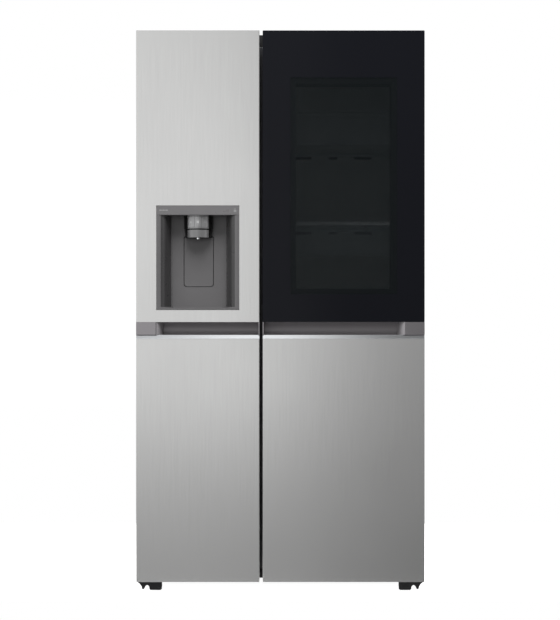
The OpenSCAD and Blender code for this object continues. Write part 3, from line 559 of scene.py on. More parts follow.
def thicken(obj, amount):
    """Gives a sheet its thickness, behind the face that was drawn."""
    solid = obj.modifiers.new("sheet", "SOLIDIFY")
    solid.thickness = amount
    solid.offset = -1.0
    solid.use_even_offset = True
    smooth_by_angle(obj)


def smooth_by_angle(obj):
    smooth = obj.modifiers.new("smooth_by_angle", "NODES")
    smooth.node_group = SMOOTHING


def keep_flat(obj):
    """Lets large faces keep their own normal beside a bend."""
    weighted = obj.modifiers.new("flat_faces_stay_flat", "WEIGHTED_NORMAL")
    weighted.keep_sharp = True


def piece(name, bm, slot, body, replaced=(), bevel=0.0, looks=None, sheet=None):
    """Makes a finished piece that rides on a body and stands for the CAD nodes in replaced.

    looks names its materials where they aren't just the slot's own, and sheet is the thickness of an
    open sheet and the direction that it faces.
    """
    obj = finish_mesh(name, bm, sheet[1] if sheet else None)
    for look in looks or (slot,):
        obj.data.materials.append(MATERIALS[look])
    if sheet:
        thicken(obj, sheet[0])
    if bevel:
        round_edges(obj, bevel)
    keep_flat(obj)
    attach(obj, body)
    if replaced:
        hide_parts(*replaced)


def smoothing_group():
    """Joins doubled points and shades smooth across every edge that isn't sharp."""
    group = bpy.data.node_groups.new("smooth_by_angle", "GeometryNodeTree")
    group.interface.new_socket("Geometry", in_out="INPUT", socket_type="NodeSocketGeometry")
    group.interface.new_socket("Geometry", in_out="OUTPUT", socket_type="NodeSocketGeometry")
    start = add_node(group, "NodeGroupInput").outputs[0]
    clear = add_node(group, "GeometryNodeRemoveAttribute", {"Geometry": start, "Name": "custom_normal"})
    merge = add_node(group, "GeometryNodeMergeByDistance",
                     {"Geometry": clear.outputs["Geometry"], "Distance": 0.005 * MM})
    faces = add_node(group, "GeometryNodeSetShadeSmooth",
                     {"Geometry": merge.outputs["Geometry"], "Shade Smooth": True}, domain="FACE")
    angle = add_node(group, "GeometryNodeInputMeshEdgeAngle").outputs["Unsigned Angle"]
    sharp = add_node(group, "FunctionNodeCompare", {"A": angle, "B": NODE_SHARP},
                     data_type="FLOAT", operation="GREATER_THAN")
    edges = add_node(group, "GeometryNodeSetShadeSmooth", {
        "Geometry": faces.outputs["Geometry"], "Selection": sharp.outputs["Result"],
        "Shade Smooth": False,
    }, domain="EDGE")
    add_node(group, "NodeGroupOutput", {0: edges.outputs["Geometry"]})
    return group


SMOOTHING = smoothing_group()


# ---------- CAD nodes that stay ----------

# Widths in mm of the rounded edges
BEVEL_WIDTHS = {
    0.2: "front_frame fridge_upper_wrap",
    0.3: "case_panels rear_panel machine_cover condenser_fan evaporator_fan",
    0.4: "drip_tray",
    0.5: "base_pan top_hinges fan_shroud left_foot right_foot freezer_handle_pocket drain_pan "
         "fridge_handle_pocket freezer_door_caps fridge_door_caps window_panes",
    0.6: "lower_hinges rear_connections dispenser_nozzle water_button cubed_button crushed_button "
         "window_surround compressor",
    0.7: "evaporator_cover freezer_handle_trim fridge_handle_trim",
    0.8: "duct_panel shelf_panes dispenser_paddle ice_bin",
    0.9: "top_covers freezer_shelves",
    1.0: "cabinet_foam",
    1.2: "shelf_frames",
    1.6: "freezer_door_core fridge_door_core",
}
BEVELS = {node: width for width, nodes in BEVEL_WIDTHS.items() for node in nodes.split()}

# Distances in mm under which points are joined, so that short edges don't hold the bevel back
WELDS = {"lower_hinges": 0.3}


def dress(node, slot):
    """Gives a CAD node that stays its material, smooth shading and small rounded edges."""
    obj = frame["nodes"][node]
    if node in WELDS:
        weld = obj.modifiers.new("join_close_points", "WELD")
        weld.merge_threshold = WELDS[node] * MM
    obj.data.materials.clear()
    obj.data.materials.append(MATERIALS[LOOKS.get(node, slot)])
    smooth_by_angle(obj)
    if node in BEVELS:
        round_edges(obj, BEVELS[node] * MM)
    keep_flat(obj)


# ---------- doors ----------

def door_x(door, u0, u1):
    """The x range of two distances from a door's hinge side."""
    if door == "freezer":
        return (LEFT + u0, LEFT + u1)
    return (RIGHT - u1, RIGHT - u0)


def door_width(door):
    return FREEZER_W if door == "freezer" else FRIDGE_W


def skin_plan(x, extra):
    """The plan of a folded skin: points of (x, y), from one rear edge round the front to the other."""
    r = SKIN_CORNER
    left = arc(x[0] + r, FRONT + r, r, 180, 270, SKIN_STEPS)
    right = arc(x[1] - r, FRONT + r, r, 270, 360, SKIN_STEPS)
    middle = [(value, FRONT) for value in extra]
    return [(x[0], SKIN_BACK)] + left + middle + right + [(x[1], SKIN_BACK)]


def skin_sheet(bm, x, z, side_top, hole=None):
    """The outer face of a skin, with edges folded back above and below, and sides up to side_top.

    hole is the range of x and of z that stays open in the front, for the dispenser.
    """
    plan = skin_plan(x, hole[0] if hole else ())
    heights = sorted({z[0], *(hole[1] if hole else ()), side_top, z[1]})
    rows = [[bm.verts.new((px, py, height)) for px, py in plan] for height in heights]
    hole_column = SKIN_STEPS + 2
    for k in range(len(heights) - 1):
        for i in range(len(plan) - 1):
            side = i in (0, len(plan) - 2)
            above = heights[k] >= side_top - MM / 10
            in_hole = hole and i == hole_column and hole[1][0] <= heights[k] < hole[1][1]
            if (side and above) or in_hole:
                continue
            bm.faces.new((rows[k][i], rows[k][i + 1], rows[k + 1][i + 1], rows[k + 1][i]))
    for edge in (rows[0][1:-1], rows[-1][1:-1]):
        fold_edge(bm, edge)


def fold_edge(bm, edge):
    """Turns the front part of an edge back over the door's end by a few millimetres."""
    row = [bm.verts.new(v.co + Vector((0, 3 * MM, 0))) for v in edge]
    for i in range(len(row) - 1):
        bm.faces.new((edge[i], edge[i + 1], row[i + 1], row[i]))


def steel_skins():
    """The brushed steel skins of both doors."""
    bm = bmesh.new()
    hole = (inset(span(DISPENSER, X), -0.2 * MM), inset(span(DISPENSER, Z), -0.2 * MM))
    skin_sheet(bm, door_x("freezer", 0, FREEZER_W), (UPPER_Z0, DOOR_Z1), SIDE_TOP, hole)
    piece("freezer_upper_skin", bm, "brushed_steel", "freezer_door", ("freezer_door_skins",),
          sheet=(STEEL_SHEET, OUTWARD))
    for door, node in (("freezer", "freezer_door_skins"), ("fridge", "fridge_lower_skin")):
        bm = bmesh.new()
        skin_sheet(bm, door_x(door, 0, door_width(door)), (DOOR_Z0, TRIM_Z0), TRIM_Z0)
        piece(door + "_lower_sheet", bm, "brushed_steel", door + "_door", (node,),
              sheet=(STEEL_SHEET, OUTWARD))


def front_glass():
    """The glass of the fridge door: dark print all over but for the window."""
    bm = bmesh.new()
    window = (span(WINDOW, X), span(WINDOW, Z))
    edge = [(0.4, 4, 2), (0, 3.6, 2.4), (0, 0.9, 2.4), (0.3, 0.3, 2.2), (0.9, 0, 1.8)]
    rows = rings(*window, FRONT, [(0, 4, 3)])
    rows += rings(door_x("fridge", 0, FRIDGE_W), (UPPER_Z0, DOOR_Z1), FRONT, edge)
    rows += rings(*window, FRONT, [(0, 0, 3)])
    _, ends = loft(bm, rows, caps=(True, True))
    for face in ends:
        face.material_index = 1
    piece("window_door_glass", bm, "black_glass", "fridge_door", ("fridge_front_glass",),
          looks=("black_glass", "window_glass"))


def liner_rows(door, opening):
    """Rows from the flange of a door's inner sheet, over its raised rim, to the panel or opening inside."""
    width = door_width(door)
    flange_x = door_x(door, 0.5 * MM, width - 0.5 * MM)
    flange_z = span(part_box(door + "_door_liner"), Z)
    rim_x = door_x(door, 60.5 * MM, width - 42 * MM)
    rim_z = (flange_z[0] + 89.5 * MM, flange_z[1] - 84 * MM)
    flange = [(0.0, -2.0, 3), (0.0, -0.5, 3), (0.5, 0.0, 3)]
    rim = [
        (-3.0, 0.0, 10), (-0.9, 0.9, 8), (0.0, 3.0, 7), (1.2, 56.0, 6), (1.8, 60.0, 5.5),
        (3.8, 62.0, 4.5), (6.5, 62.5, 3), (19.5, 62.5, 4), (22.0, 62.0, 5), (24.1, 60.0, 6),
        (24.8, 56.0, 6), (25.8, 3.0, 7), (26.5, 0.9, 7), (28.5, 0.2, 6),
    ]
    rows = rings(flange_x, flange_z, SLAB, flange) + rings(rim_x, rim_z, SLAB, rim)
    if opening:
        rows += rings(*opening, SLAB, [(0, 0.2, 3), (0, -2, 3)])
    return rows


def door_liners():
    """The vacuum-formed inner sheets of both doors."""
    border = 17 * MM
    opening = (inset(span(WINDOW, X), border), inset(span(WINDOW, Z), border))
    for door, hole in (("freezer", None), ("fridge", opening)):
        bm = bmesh.new()
        loft(bm, liner_rows(door, hole), caps=(False, hole is None))
        piece(door + "_inner_sheet", bm, "white_liner", door + "_door", (door + "_door_liner",),
              sheet=(LINER_SHEET, INWARD))


def door_seals():
    """The magnetic seals: a ring of soft profile with bellows at each side."""
    profile = [
        (3.0, 0.0), (1.2, 2.6), (3.4, 4.6), (0.6, 7.2), (0.0, 10.4), (0.7, 13.4), (2.6, 14.7),
        (15.4, 14.7), (17.3, 13.4), (18.0, 10.4), (17.4, 7.2), (14.6, 4.6), (16.8, 2.6), (15.0, 0.0),
    ]
    for door in ("freezer", "fridge"):
        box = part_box(door + "_gasket")
        bm = bmesh.new()
        shape = [(amount, rise, 26 - amount) for amount, rise in profile]
        loft(bm, rings(span(box, X), span(box, Z), SLAB, shape), wrap=True)
        piece(door + "_door_seal", bm, "seal_rubber", door + "_door", (door + "_gasket",))


def tub_rows(x, y, z, wall, corner):
    """Rows of an open tub with a slight draft, a rolled rim and a round inner floor.

    The wall's thickness and the corner's radius are in mm.
    """
    low, high = z
    inside = RIM_REACH + wall
    shape = [
        (RIM_REACH + 2.5, low, -3), (RIM_REACH + 1.0, low + 0.6 * MM, -2),
        (RIM_REACH + 0.2, low + 2.6 * MM, -1), (RIM_REACH - 0.6, high - 10.5 * MM, -1),
        (0.0, high - 9 * MM, 0), (0.0, high - 1.2 * MM, 0), (0.9, high, -1), (inside - 1.4, high, -2),
        (inside - 0.4, high - MM, -3), (inside + 0.6, low + 5 * MM, -3), (inside + 2.2, low + 3 * MM, -4),
    ]
    return [lying(shrunk(x, y, amount, corner + change), height) for amount, height, change in shape]


def door_baskets():
    """Clear door baskets with a rolled rim and side hooks, one object for each door."""
    hook_y = (SLAB + 20 * MM, SLAB + 50 * MM)
    for door in ("freezer", "fridge"):
        node = door + "_baskets"
        x = door_x(door, 88.5 * MM, door_width(door) - 70 * MM)
        y = (SLAB + 2 * MM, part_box(node)[1].y)
        floors = basket_floors(node)
        bm = bmesh.new()
        for low in floors:
            loft(bm, tub_rows(x, y, (low, low + BASKET_HEIGHT), 2.5, 16), caps=(True, True))
            for side in (x[0] - 1.8 * MM, x[1] - 8.2 * MM):
                block(bm, (side, side + 10 * MM), hook_y, (low + 55 * MM, low + 80 * MM))
        mark_rims(bm, [low + BASKET_HEIGHT for low in floors])
        piece(door + "_door_baskets", bm, "clear_plastic", door + "_door", (node,), bevel=0.6 * MM,
              looks=("clear_plastic", "thick_clear_plastic"))


def mark_rims(bm, tops):
    """Gives the rims at those heights the second material of the piece."""
    for face in bm.faces:
        z = face.calc_center_median().z
        if any(-5 * MM < z - top < MM for top in tops):
            face.material_index = 1


def node_heights(node):
    """The heights of a CAD node's points, to a tenth of a millimetre."""
    return sorted({round(v.co.z, 4) for v in frame["nodes"][node].data.vertices})


def basket_floors(node):
    """Heights of the undersides of a door's baskets: they have other points about 100 mm above."""
    heights = node_heights(node)
    found = []
    for z in heights:
        ends = any(95 * MM <= other - z <= 105 * MM for other in heights)
        if ends and all(z - below > 120 * MM for below in found):
            found.append(z)
    return found


def drawers():
    """Clear drawers: a tub behind a rounded front panel with a finger lip."""
    for node in ("upper_crisper", "lower_crisper", "upper_freezer_drawer", "lower_freezer_drawer"):
        low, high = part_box(node)
        x = (low.x, high.x)
        bm = bmesh.new()
        tub = tub_rows(x, (low.y + 6 * MM, high.y), (low.z, high.z - 4 * MM), 3.0, 12)
        loft(bm, tub, caps=(True, True))
        panel = [(1.2, 9, 7.8), (0, 7.8, 9), (0, 2.2, 9), (0.6, 0.7, 8.4), (2.2, 0, 6.8)]
        loft(bm, rings(x, (low.z + 2 * MM, high.z), low.y, panel), caps=(True, True))
        lip_z = (high.z - 14 * MM, high.z - 11 * MM)
        block(bm, inset(x, 60 * MM), (low.y + 9 * MM, low.y + 17 * MM), lip_z)
        piece(node + "_tub", bm, "clear_plastic", node, (node,), bevel=0.5 * MM,
              looks=("thick_clear_plastic",))


# ---------- cabinet ----------

def liner_wall(x, z, steps):
    """Rows of a cavity liner, from its front edge to its rear wall."""
    rows = []
    for y, amount, floor_rise, corner in steps:
        low = z[0] + amount * MM + floor_rise * MM
        outline = rounded(inset(x, amount * MM), (low, z[1] - amount * MM), corner * MM)
        rows.append(upright(outline, y))
    return rows


def cabinet_liner():
    """Both cavities: rounded tubs with a raised floor over the machine room, and ribs for the shelves."""
    low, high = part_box("cabinet_liners")
    freezer_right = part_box("evaporator_cover")[1].x + 3 * MM
    fridge_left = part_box("shelf_frames")[0].x - 4 * MM
    steps = [
        (low.y, -1.0, 0.0, 13), (low.y, 0.0, 0.0, 12), (low.y + 0.3 * MM, 1.2, 0.0, 12),
        (low.y + 2.0 * MM, 2.0, 0.0, 12), (89 * MM, 2.0, 0.0, 12), (92 * MM, 2.0, 1.8, 12),
        (95 * MM, 2.0, 14.0, 12), (119 * MM, 2.0, 160.0, 12), (121.5 * MM, 2.0, 173.5, 12),
        (124 * MM, 2.0, 179.3, 12), (127 * MM, 2.0, 180.0, 12), (high.y - 10 * MM, 2.0, 180.0, 12),
        (high.y - 5 * MM, 3.4, 180.0, 12), (high.y - 2.9 * MM, 6.2, 180.0, 12),
        (high.y - 2 * MM, 10.0, 180.0, 12),
    ]
    bm = bmesh.new()
    ribs = bmesh.new()
    for shelves, x in (("freezer_shelves", (low.x, freezer_right)), ("shelf_frames", (fridge_left, high.x))):
        loft(bm, liner_wall(x, (low.z, high.z), steps), caps=(False, True))
        for height in shelf_levels(shelves):
            rear = 85 * MM if height < 320 * MM else 200 * MM
            z = (height - 14 * MM, height - 6.2 * MM)
            for side in (x[0] + 1.5 * MM, x[1] - 9 * MM):
                block(ribs, (side, side + 7.5 * MM), (-100 * MM, rear), z)
    piece("cabinet_inner_liner", bm, "white_liner", "cabinet", ("cabinet_liners",),
          sheet=(LINER_SHEET, OUTWARD))
    piece("shelf_ribs", ribs, "white_liner", "cabinet", bevel=1.5 * MM)


def shelf_levels(node):
    """The middle height of each shelf in a node: a shelf is 12 mm thick."""
    heights = node_heights(node)
    tops = [z for z in heights if any(abs(z - other - 12 * MM) < 0.05 * MM for other in heights)]
    return [z - 6 * MM for z in tops]


def lamps():
    """Tall light strips near the front of both cavities' side walls."""
    low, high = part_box("cabinet_liners")
    strips = {
        "fridge_lamp_right": (high.x - 2 * MM, -1),
        "fridge_lamp_left": (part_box("shelf_frames")[0].x - 2 * MM, 1),
        "freezer_lamp_left": (low.x + 2 * MM, 1),
    }
    y = (low.y + 110 * MM, low.y + 120 * MM)
    z = (high.z - 900 * MM, high.z - 60 * MM)
    for name, (wall, inward) in strips.items():
        bm = bmesh.new()
        rows = []
        for amount, out in ((0.0, 0.0), (0.0, 0.9), (0.3, 1.3), (1.0, 1.6)):
            outline = shrunk(y, z, amount, 4 - amount)
            rows.append([Vector((wall + inward * out * MM, py, pz)) for py, pz in outline])
        loft(bm, rows, caps=(True, True))
        piece(name, bm, "fitting_plastic", "cabinet", looks=("lamp_cover",))


def air_slot_grilles():
    """Dark grilles in the slots of the air duct, just under the shelves that stand above its foot."""
    low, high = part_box("duct_panel")
    middle = (low.x + high.x) / 2
    fins = 5
    bm = bmesh.new()
    for level in shelf_levels("shelf_frames"):
        if level < 600 * MM:
            continue
        z = (level - 16.6 * MM, level - 7.4 * MM)
        for place, half in ((-107 * MM, 30.6 * MM), (0.0, 14.6 * MM), (107 * MM, 30.6 * MM)):
            x = (middle + place - half, middle + place + half)
            block(bm, x, (low.y + 1.6 * MM, low.y + 2.6 * MM), z)
            for i in range(fins):
                fin = x[0] + (x[1] - x[0]) * (i + 0.5) / fins
                block(bm, (fin - 0.6 * MM, fin + 0.6 * MM), (low.y + 0.5 * MM, low.y + 1.8 * MM), z)
    piece("air_slot_grilles", bm, "dark_plastic", "cabinet")


def screw(bm, x, y, z):
    """A pan-head screw with a round recess, on a face that looks backward."""
    head = [(1.0, 0.0), (1.0, 0.25), (0.85, 0.42), (0.5, 0.5), (0.42, 0.48), (0.4, 0.15)]
    profile = [(r * SCREW_RADIUS, height * SCREW_RADIUS) for r, height in head]
    lathe(bm, (x, y, z), INWARD, profile, 18, caps=(True, True))


def rear_screws():
    """Screws along the edges of the rear panel and round the machine room's cover."""
    bm = bmesh.new()
    low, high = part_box("rear_panel")
    face = high.y - BEAD_DEPTH
    for z in (low.z + 15 * MM, 550 * MM, 870 * MM, 1190 * MM, high.z - 15 * MM):
        for x in (low.x + 14 * MM, high.x - 14 * MM):
            screw(bm, x, face, z)
    for x in (-200 * MM, 0.0, 200 * MM):
        screw(bm, x, face, high.z - 15 * MM)
    low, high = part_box("machine_cover")
    for z in (low.z + 12 * MM, high.z - 12 * MM):
        for x in (low.x + 14 * MM, -150 * MM, 150 * MM, high.x - 14 * MM):
            screw(bm, x, high.y, z)
    piece("rear_screw_heads", bm, "galvanised", "cabinet")


def rear_panel_hem():
    """The turned lower edge of the rear panel, which hides the foam behind it."""
    low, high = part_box("rear_panel")
    face = high.y - BEAD_DEPTH
    bm = bmesh.new()
    z = (low.z - 2.6 * MM, low.z - 0.1 * MM)
    block(bm, inset((low.x, high.x), 2 * MM), (face - MM, face - 0.1 * MM), z)
    piece("rear_panel_hem", bm, "galvanised", "cabinet", bevel=0.3 * MM)


# ---------- dispenser ----------

def u_row(x, z_low, z_high, r, y):
    """An open row down one side, along the bottom and up the other."""
    steps = 5
    points = [(x[0], z_high)]
    points += arc(x[0] + r, z_low + r, r, 180, 270, steps)
    points += arc(x[1] - r, z_low + r, r, 270, 360, steps)
    points.append((x[1], z_high))
    return upright(points, y)


def recess_half(depth):
    """Half the recess's width at a depth behind the door's front: its sides bulge inward."""
    angle = math.acos(max(0.0, 1 - depth / RECESS_DEPTH))
    return RECESS_HALF + RECESS_FLARE * (1 - math.sin(angle))


def around(x, half):
    return (x - half, x + half)


def dispenser_recess():
    """The frame and the curved recess of the dispenser, with the pocket that the paddle swings into."""
    low, high = DISPENSER
    top = STRIP[0].z - 0.4 * MM
    floor = low.z + 2.5 * MM
    outer = (low.x, high.x)
    opening = around(DISPENSER_X, recess_half(0))
    rows = [
        u_row(outer, low.z, top, 5 * MM, high.y),
        u_row(outer, low.z, top, 5 * MM, FRONT + 0.9 * MM),
        u_row(inset(outer, 0.25 * MM), low.z + 0.25 * MM, top, 4.8 * MM, FRONT + 0.25 * MM),
        u_row(inset(outer, 0.9 * MM), low.z + 0.9 * MM, top, 4.2 * MM, FRONT),
        u_row(inset(opening, -0.5 * MM), floor - 0.5 * MM, top, 3 * MM, FRONT),
        u_row(opening, floor, top, 2.6 * MM, FRONT + 0.4 * MM),
    ]
    for angle in range(5, 95, 5):
        depth = RECESS_DEPTH * (1 - math.cos(math.radians(angle)))
        if depth > 0.6 * MM:
            wall = around(DISPENSER_X, recess_half(depth))
            rows.append(u_row(wall, floor, top, 2.5 * MM, FRONT + depth))
    bm = bmesh.new()
    made, _ = loft(bm, rows, closed=False)
    for k in range(4, len(made) - 1):
        bm.faces.new((made[k][0], made[k + 1][0], made[k + 1][-1], made[k][-1]))
    recess_back(bm, floor, top)
    bm.normal_update()
    # The side walls and the pocket behind the paddle take the second material, whose dark colour is painted
    # shade in the recess
    for face in bm.faces:
        centre = face.calc_center_median()
        inside = centre.y > FRONT + 0.3 * MM and centre.z > floor
        cheek = abs(face.normal.x) > 0.3 and abs(centre.x - DISPENSER_X) > 80 * MM
        in_pocket = centre.y > FRONT + RECESS_DEPTH + 0.3 * MM
        if inside and (cheek or in_pocket):
            face.material_index = 1
    piece("dispenser_recess_shell", bm, "dispenser_plastic", "freezer_door", ("dispenser_housing",),
          looks=("dispenser_plastic", "recess_painted_shade"), sheet=(RECESS_SHEET, OUTWARD))


def recess_back(bm, floor, top):
    """The recess's rear wall, with the rounded pocket behind the paddle."""
    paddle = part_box("dispenser_paddle")
    y = FRONT + RECESS_DEPTH
    pocket_x = around(DISPENSER_X, 48 * MM)
    pocket_z = (paddle[0].z - 2 * MM, paddle[1].z + 6 * MM)
    rows = rings(around(DISPENSER_X, RECESS_HALF), (floor, top), y, [(0, 0, 2.5)])
    rows += rings(pocket_x, pocket_z, y, [(-0.3, 0, 10.3), (0, 0.4, 10), (0, 18, 10)])
    loft(bm, rows, caps=(False, True))


def display_strip():
    """The flat display strip with round upper corners."""
    rows = []
    face = FRONT + SIGN_HEIGHT
    back = STRIP[1].y
    for amount, y in ((0.4, back), (0.0, back - 0.4 * MM), (0.0, face + 0.8 * MM),
                      (0.25, face + 0.25 * MM), (0.8, face)):
        x = inset(span(STRIP, X), amount * MM)
        z = inset(span(STRIP, Z), amount * MM)
        r = (4.6 - amount) * MM
        s = (1.2 - amount) * MM
        outline = arc(x[1] - s, z[0] + s, s, -90, 0) + arc(x[1] - r, z[1] - r, r, 0, 90)
        outline += arc(x[0] + r, z[1] - r, r, 90, 180) + arc(x[0] + s, z[0] + s, s, 180, 270)
        rows.append(upright(outline, y))
    bm = bmesh.new()
    loft(bm, rows, caps=(True, True))
    piece("display_strip_plate", bm, "strip_plastic", "freezer_door", ("dispenser_strip",))


def icon_plate(bm, outline):
    """A thin raised shape on the display strip, from an outline of (x, z)."""
    loft(bm, [upright(outline, FRONT + 2 * SIGN_HEIGHT), upright(outline, FRONT)], caps=(True, True))


def icon_ring(bm, cx, cz, r, width):
    """A thin ring on the display strip."""
    sides = 20
    rows = []
    for radius, y in ((r, FRONT + SIGN_HEIGHT), (r, FRONT), (r - width, FRONT),
                      (r - width, FRONT + SIGN_HEIGHT)):
        rows.append(upright(arc(cx, cz, radius, 0, 360, sides)[:-1], y))
    loft(bm, rows, wrap=True)


def strip_signs():
    """Plain signs on the display strip: three bars at the left, a ring over a bar at the right."""
    z = (STRIP[0].z + STRIP[1].z) / 2
    bm = bmesh.new()
    for i in range(3):
        x = STRIP[0].x + (9 + 9.5 * i) * MM
        bar = rounded((x, x + 8 * MM), (z - 2 * MM, z + 2 * MM), 1.4 * MM, 3)
        icon_plate(bm, bar)
    x = STRIP[1].x - 13 * MM
    icon_ring(bm, x, z + 3.4 * MM, 3.2 * MM, 1.2 * MM)
    lock = rounded((x - 4 * MM, x + 4 * MM), (z - 5.5 * MM, z + 0.8 * MM), 0.9 * MM, 3)
    icon_plate(bm, lock)
    piece("strip_signs", bm, "fitting_plastic", "freezer_door", looks=("strip_print",))


def nozzle_point(x, r, z):
    """A point on the nozzle's round front."""
    angle = math.asin(x / r)
    return Vector((DISPENSER_X + x, FRONT + NOZZLE_AXIS - r * math.cos(angle), z))


def curved_plate(bm, x, z, outer, thick, soft):
    """A plate bent round the nozzle's axis, with soft edges; outer is its radius below and above."""
    columns = 14
    rows = []
    for amount, drop in ((0.0, thick), (0.0, soft), (0.3 * soft, 0.3 * soft), (soft, 0.0)):
        xs = inset(x, amount)
        zs = inset(z, amount)
        row = []
        for (start, end), radius, height in ((xs, outer[0], zs[0]), (xs[::-1], outer[1], zs[1])):
            for i in range(columns + 1):
                px = start + (end - start) * i / columns
                row.append(nozzle_point(px, radius - drop, height))
        rows.append(row)
    made, _ = loft(bm, rows)
    for row in (made[0], made[-1]):
        for i in range(columns):
            bm.faces.new((row[i], row[i + 1], row[-2 - i], row[-1 - i]))


def dispenser_keys():
    """The three keys that close the nozzle's round front, each with its sign."""
    low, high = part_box("cubed_button")
    middle = (low.z + high.z) / 2
    for node, place in (("water_button", -1), ("cubed_button", 0), ("crushed_button", 1)):
        x = KEY_PITCH * place
        bm = bmesh.new()
        curved_plate(bm, around(x, KEY_HALF), (low.z, high.z), (KEY_RADIUS,) * 2, 3.5 * MM, 0.5 * MM)
        piece(node + "_key", bm, "key_metal", node, (node,))
        bm = bmesh.new()
        for outline in key_sign(place):
            rows = []
            for reach in (KEY_RADIUS - 0.3 * MM, KEY_RADIUS + 0.15 * MM):
                rows.append([nozzle_point(x + px, reach, middle + pz) for px, pz in outline])
            loft(bm, rows, caps=(True, True))
        piece(node + "_sign", bm, "key_metal", node, looks=("printed_sign",))


def key_sign(place):
    """Outlines of a drop, a cube or pieces of crushed ice."""
    if place < 0:
        return [arc(0, -1.2 * MM, 3.2 * MM, -200, 20, 12) + [(0, 5.0 * MM)]]
    if place == 0:
        return [rounded((-3.6 * MM, 3.6 * MM), (-3.6 * MM, 3.6 * MM), 0.8 * MM, 3)]
    return [arc(dx * MM, dz * MM, 1.9 * MM, turn, turn + 240, 2)
            for dx, dz, turn in ((-2.6, -1.8, 0), (2.4, -2.0, 30), (0.1, 2.4, 15))]


def water_spout():
    """A short bright sleeve round the water outlet under the nozzle."""
    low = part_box("cubed_button")[0].z - 38 * MM
    centre = nozzle_point(0.0, 34 * MM, low)
    bm = bmesh.new()
    profile = [(3.2, 0.4), (3.6, 0.0), (4.9, 0.0), (5.3, 0.4), (5.3, 4.6), (3.2, 4.6)]
    points = [(r * MM, h * MM) for r, h in profile]
    lathe(bm, centre, (0, 0, 1), points, 20, wrap=True)
    piece("water_spout_sleeve", bm, "key_metal", "freezer_door", looks=("trim_aluminium",))


def nozzle_bands():
    """Metal bands above, under and below the keys, on the nozzle's black body."""
    low, high = span(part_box("cubed_button"), Z)
    bm = bmesh.new()
    for z, outer in (
        ((high + 0.7 * MM, high + 3.7 * MM), (BAND_RADIUS, BAND_RADIUS)),
        ((low - 3.6 * MM, low - 0.7 * MM), (BAND_RADIUS, BAND_RADIUS)),
        ((low - 32 * MM, low - 8.2 * MM), (41.5 * MM, 45.7 * MM)),
    ):
        curved_plate(bm, around(0.0, BAND_HALF), z, outer, 0.8 * MM, 0.2 * MM)
    piece("nozzle_metal_bands", bm, "nozzle_plastic", "freezer_door", looks=("nozzle_band",))


# ---------- studio ----------

def camera():
    """A level view, square to the doors."""
    data = bpy.data.cameras.new("camera")
    data.sensor_width = 36
    data.lens = CAMERA_LENS
    obj = bpy.data.objects.new("camera", data)
    obj.location = (CAMERA_X, FRONT - CAMERA_DISTANCE, CAMERA_Z)
    obj.rotation_euler = (math.radians(90), 0, 0)
    bpy.context.scene.collection.objects.link(obj)
    bpy.context.scene.camera = obj


def world_math(tree, operation, *values):
    """A math node of up to three values, each a number or a socket."""
    return add_node(tree, "ShaderNodeMath", dict(enumerate(values)), operation=operation).outputs[0]


def world_step(tree, value, start, end, low, high):
    """A smooth change from low to high between two values."""
    return ranged(tree, value, low, high, start, end, "SMOOTHSTEP")


def world_strength(tree, x, y, z):
    """The strength of the light from a direction, where x points right, y to the back and z up."""
    left = world_step(tree, x, 0.0, 0.052, 1.0, 0.0)
    upper = world_step(tree, z, -0.13, -0.05, 0.0, 1.0)
    both = world_math(tree, "MULTIPLY", left, upper)
    value = world_math(tree, "MULTIPLY_ADD", left, ADDED_LEFT, DIM)
    value = world_math(tree, "MULTIPLY_ADD", upper, ADDED_UPPER, value)
    value = world_math(tree, "MULTIPLY_ADD", both, ADDED_BOTH, value)
    # High up, the left is brighter and the right darker
    high = world_step(tree, z, 0.3, 0.5, 0.0, 1.0)
    lift = world_math(tree, "MULTIPLY_ADD", left, 0.6, -0.2)
    value = world_math(tree, "MULTIPLY_ADD", high, lift, value)
    # A little shade above eye level, and more of it high up and far to the left
    high_left = world_math(tree, "MULTIPLY", world_step(tree, x, -0.1, -0.01, 0.6, 0.0), high)
    shade = world_math(tree, "ADD", high_left, world_step(tree, z, 0.1, 0.2, 0.0, 0.13))
    value = world_math(tree, "MULTIPLY", value, world_math(tree, "SUBTRACT", 1.0, shade))
    # A faint glow where the left side ends, at eye level and below
    glow = world_math(tree, "MULTIPLY", world_step(tree, x, -0.08, 0.0, 0.0, 0.11), left)
    glow = world_math(tree, "MULTIPLY", glow, world_step(tree, z, 0.03, 0.15, 1.0, 0.0))
    value = world_math(tree, "MULTIPLY_ADD", value, glow, value)
    # An even light from everywhere but the camera's side
    return world_math(tree, "MAXIMUM", value, world_step(tree, y, -0.6, -0.35, 0.0, 0.7))


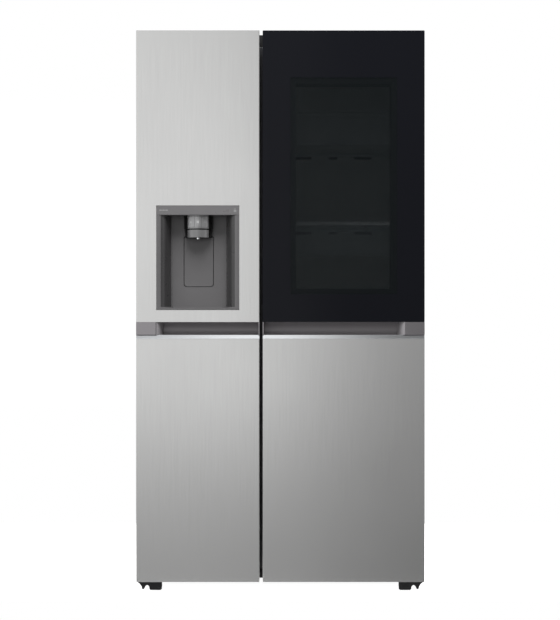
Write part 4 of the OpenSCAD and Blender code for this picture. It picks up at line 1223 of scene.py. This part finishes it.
def studio():
    """Soft white light from all round, with darker screens low down and to the right of the camera."""
    world = bpy.data.worlds.new("studio")
    bpy.context.scene.world = world
    world.use_nodes = True
    tree = world.node_tree
    tree.nodes.clear()
    direction = add_node(tree, "ShaderNodeTexCoord").outputs["Generated"]
    split = add_node(tree, "ShaderNodeSeparateXYZ", {0: direction})
    seen = add_node(tree, "ShaderNodeLightPath").outputs["Is Camera Ray"]
    strength = world_math(tree, "MAXIMUM", world_strength(tree, *split.outputs), seen)
    light = add_node(tree, "ShaderNodeBackground", {"Color": (1, 1, 1, 1), "Strength": strength})
    add_node(tree, "ShaderNodeOutputWorld", {0: light.outputs[0]})


def studio_lamp():
    """A large soft lamp above and in front, aimed at the doors."""
    data = bpy.data.lights.new("overhead", "AREA")
    data.shape = "RECTANGLE"
    data.size = 3.0
    data.size_y = 2.4
    data.energy = 230
    obj = bpy.data.objects.new("overhead", data)
    obj.visible_glossy = False
    obj.location = (0, -2.6, 4.6)
    aim = Vector((0, FRONT, 1.0)) - obj.location
    obj.rotation_euler = aim.to_track_quat("-Z", "Y").to_euler()
    bpy.context.scene.collection.objects.link(obj)


def floor():
    """A small pale floor with round corners."""
    bm = bmesh.new()
    outline = rounded((-1.5, 1.5), (FRONT - 0.1, 1.3), 0.09, 8)
    bm.faces.new([bm.verts.new(point) for point in lying(outline, 0.0)])
    obj = finish_mesh("studio_floor", bm)
    obj.data.materials.append(studio_floor())


def main():
    camera()
    studio()
    studio_lamp()
    floor()
    steel_skins()
    front_glass()
    door_liners()
    door_seals()
    door_baskets()
    drawers()
    cabinet_liner()
    lamps()
    air_slot_grilles()
    rear_screws()
    rear_panel_hem()
    dispenser_recess()
    display_strip()
    strip_signs()
    dispenser_keys()
    nozzle_bands()
    water_spout()
    for row in frame["record"]["subparts"]:
        if not frame["nodes"][row["node"]].hide_render:
            dress(row["node"], row["material_slot"])
    scene = bpy.context.scene
    scene.view_settings.view_transform = "Standard"
    scene.cycles.transparent_max_bounces = 32


main()
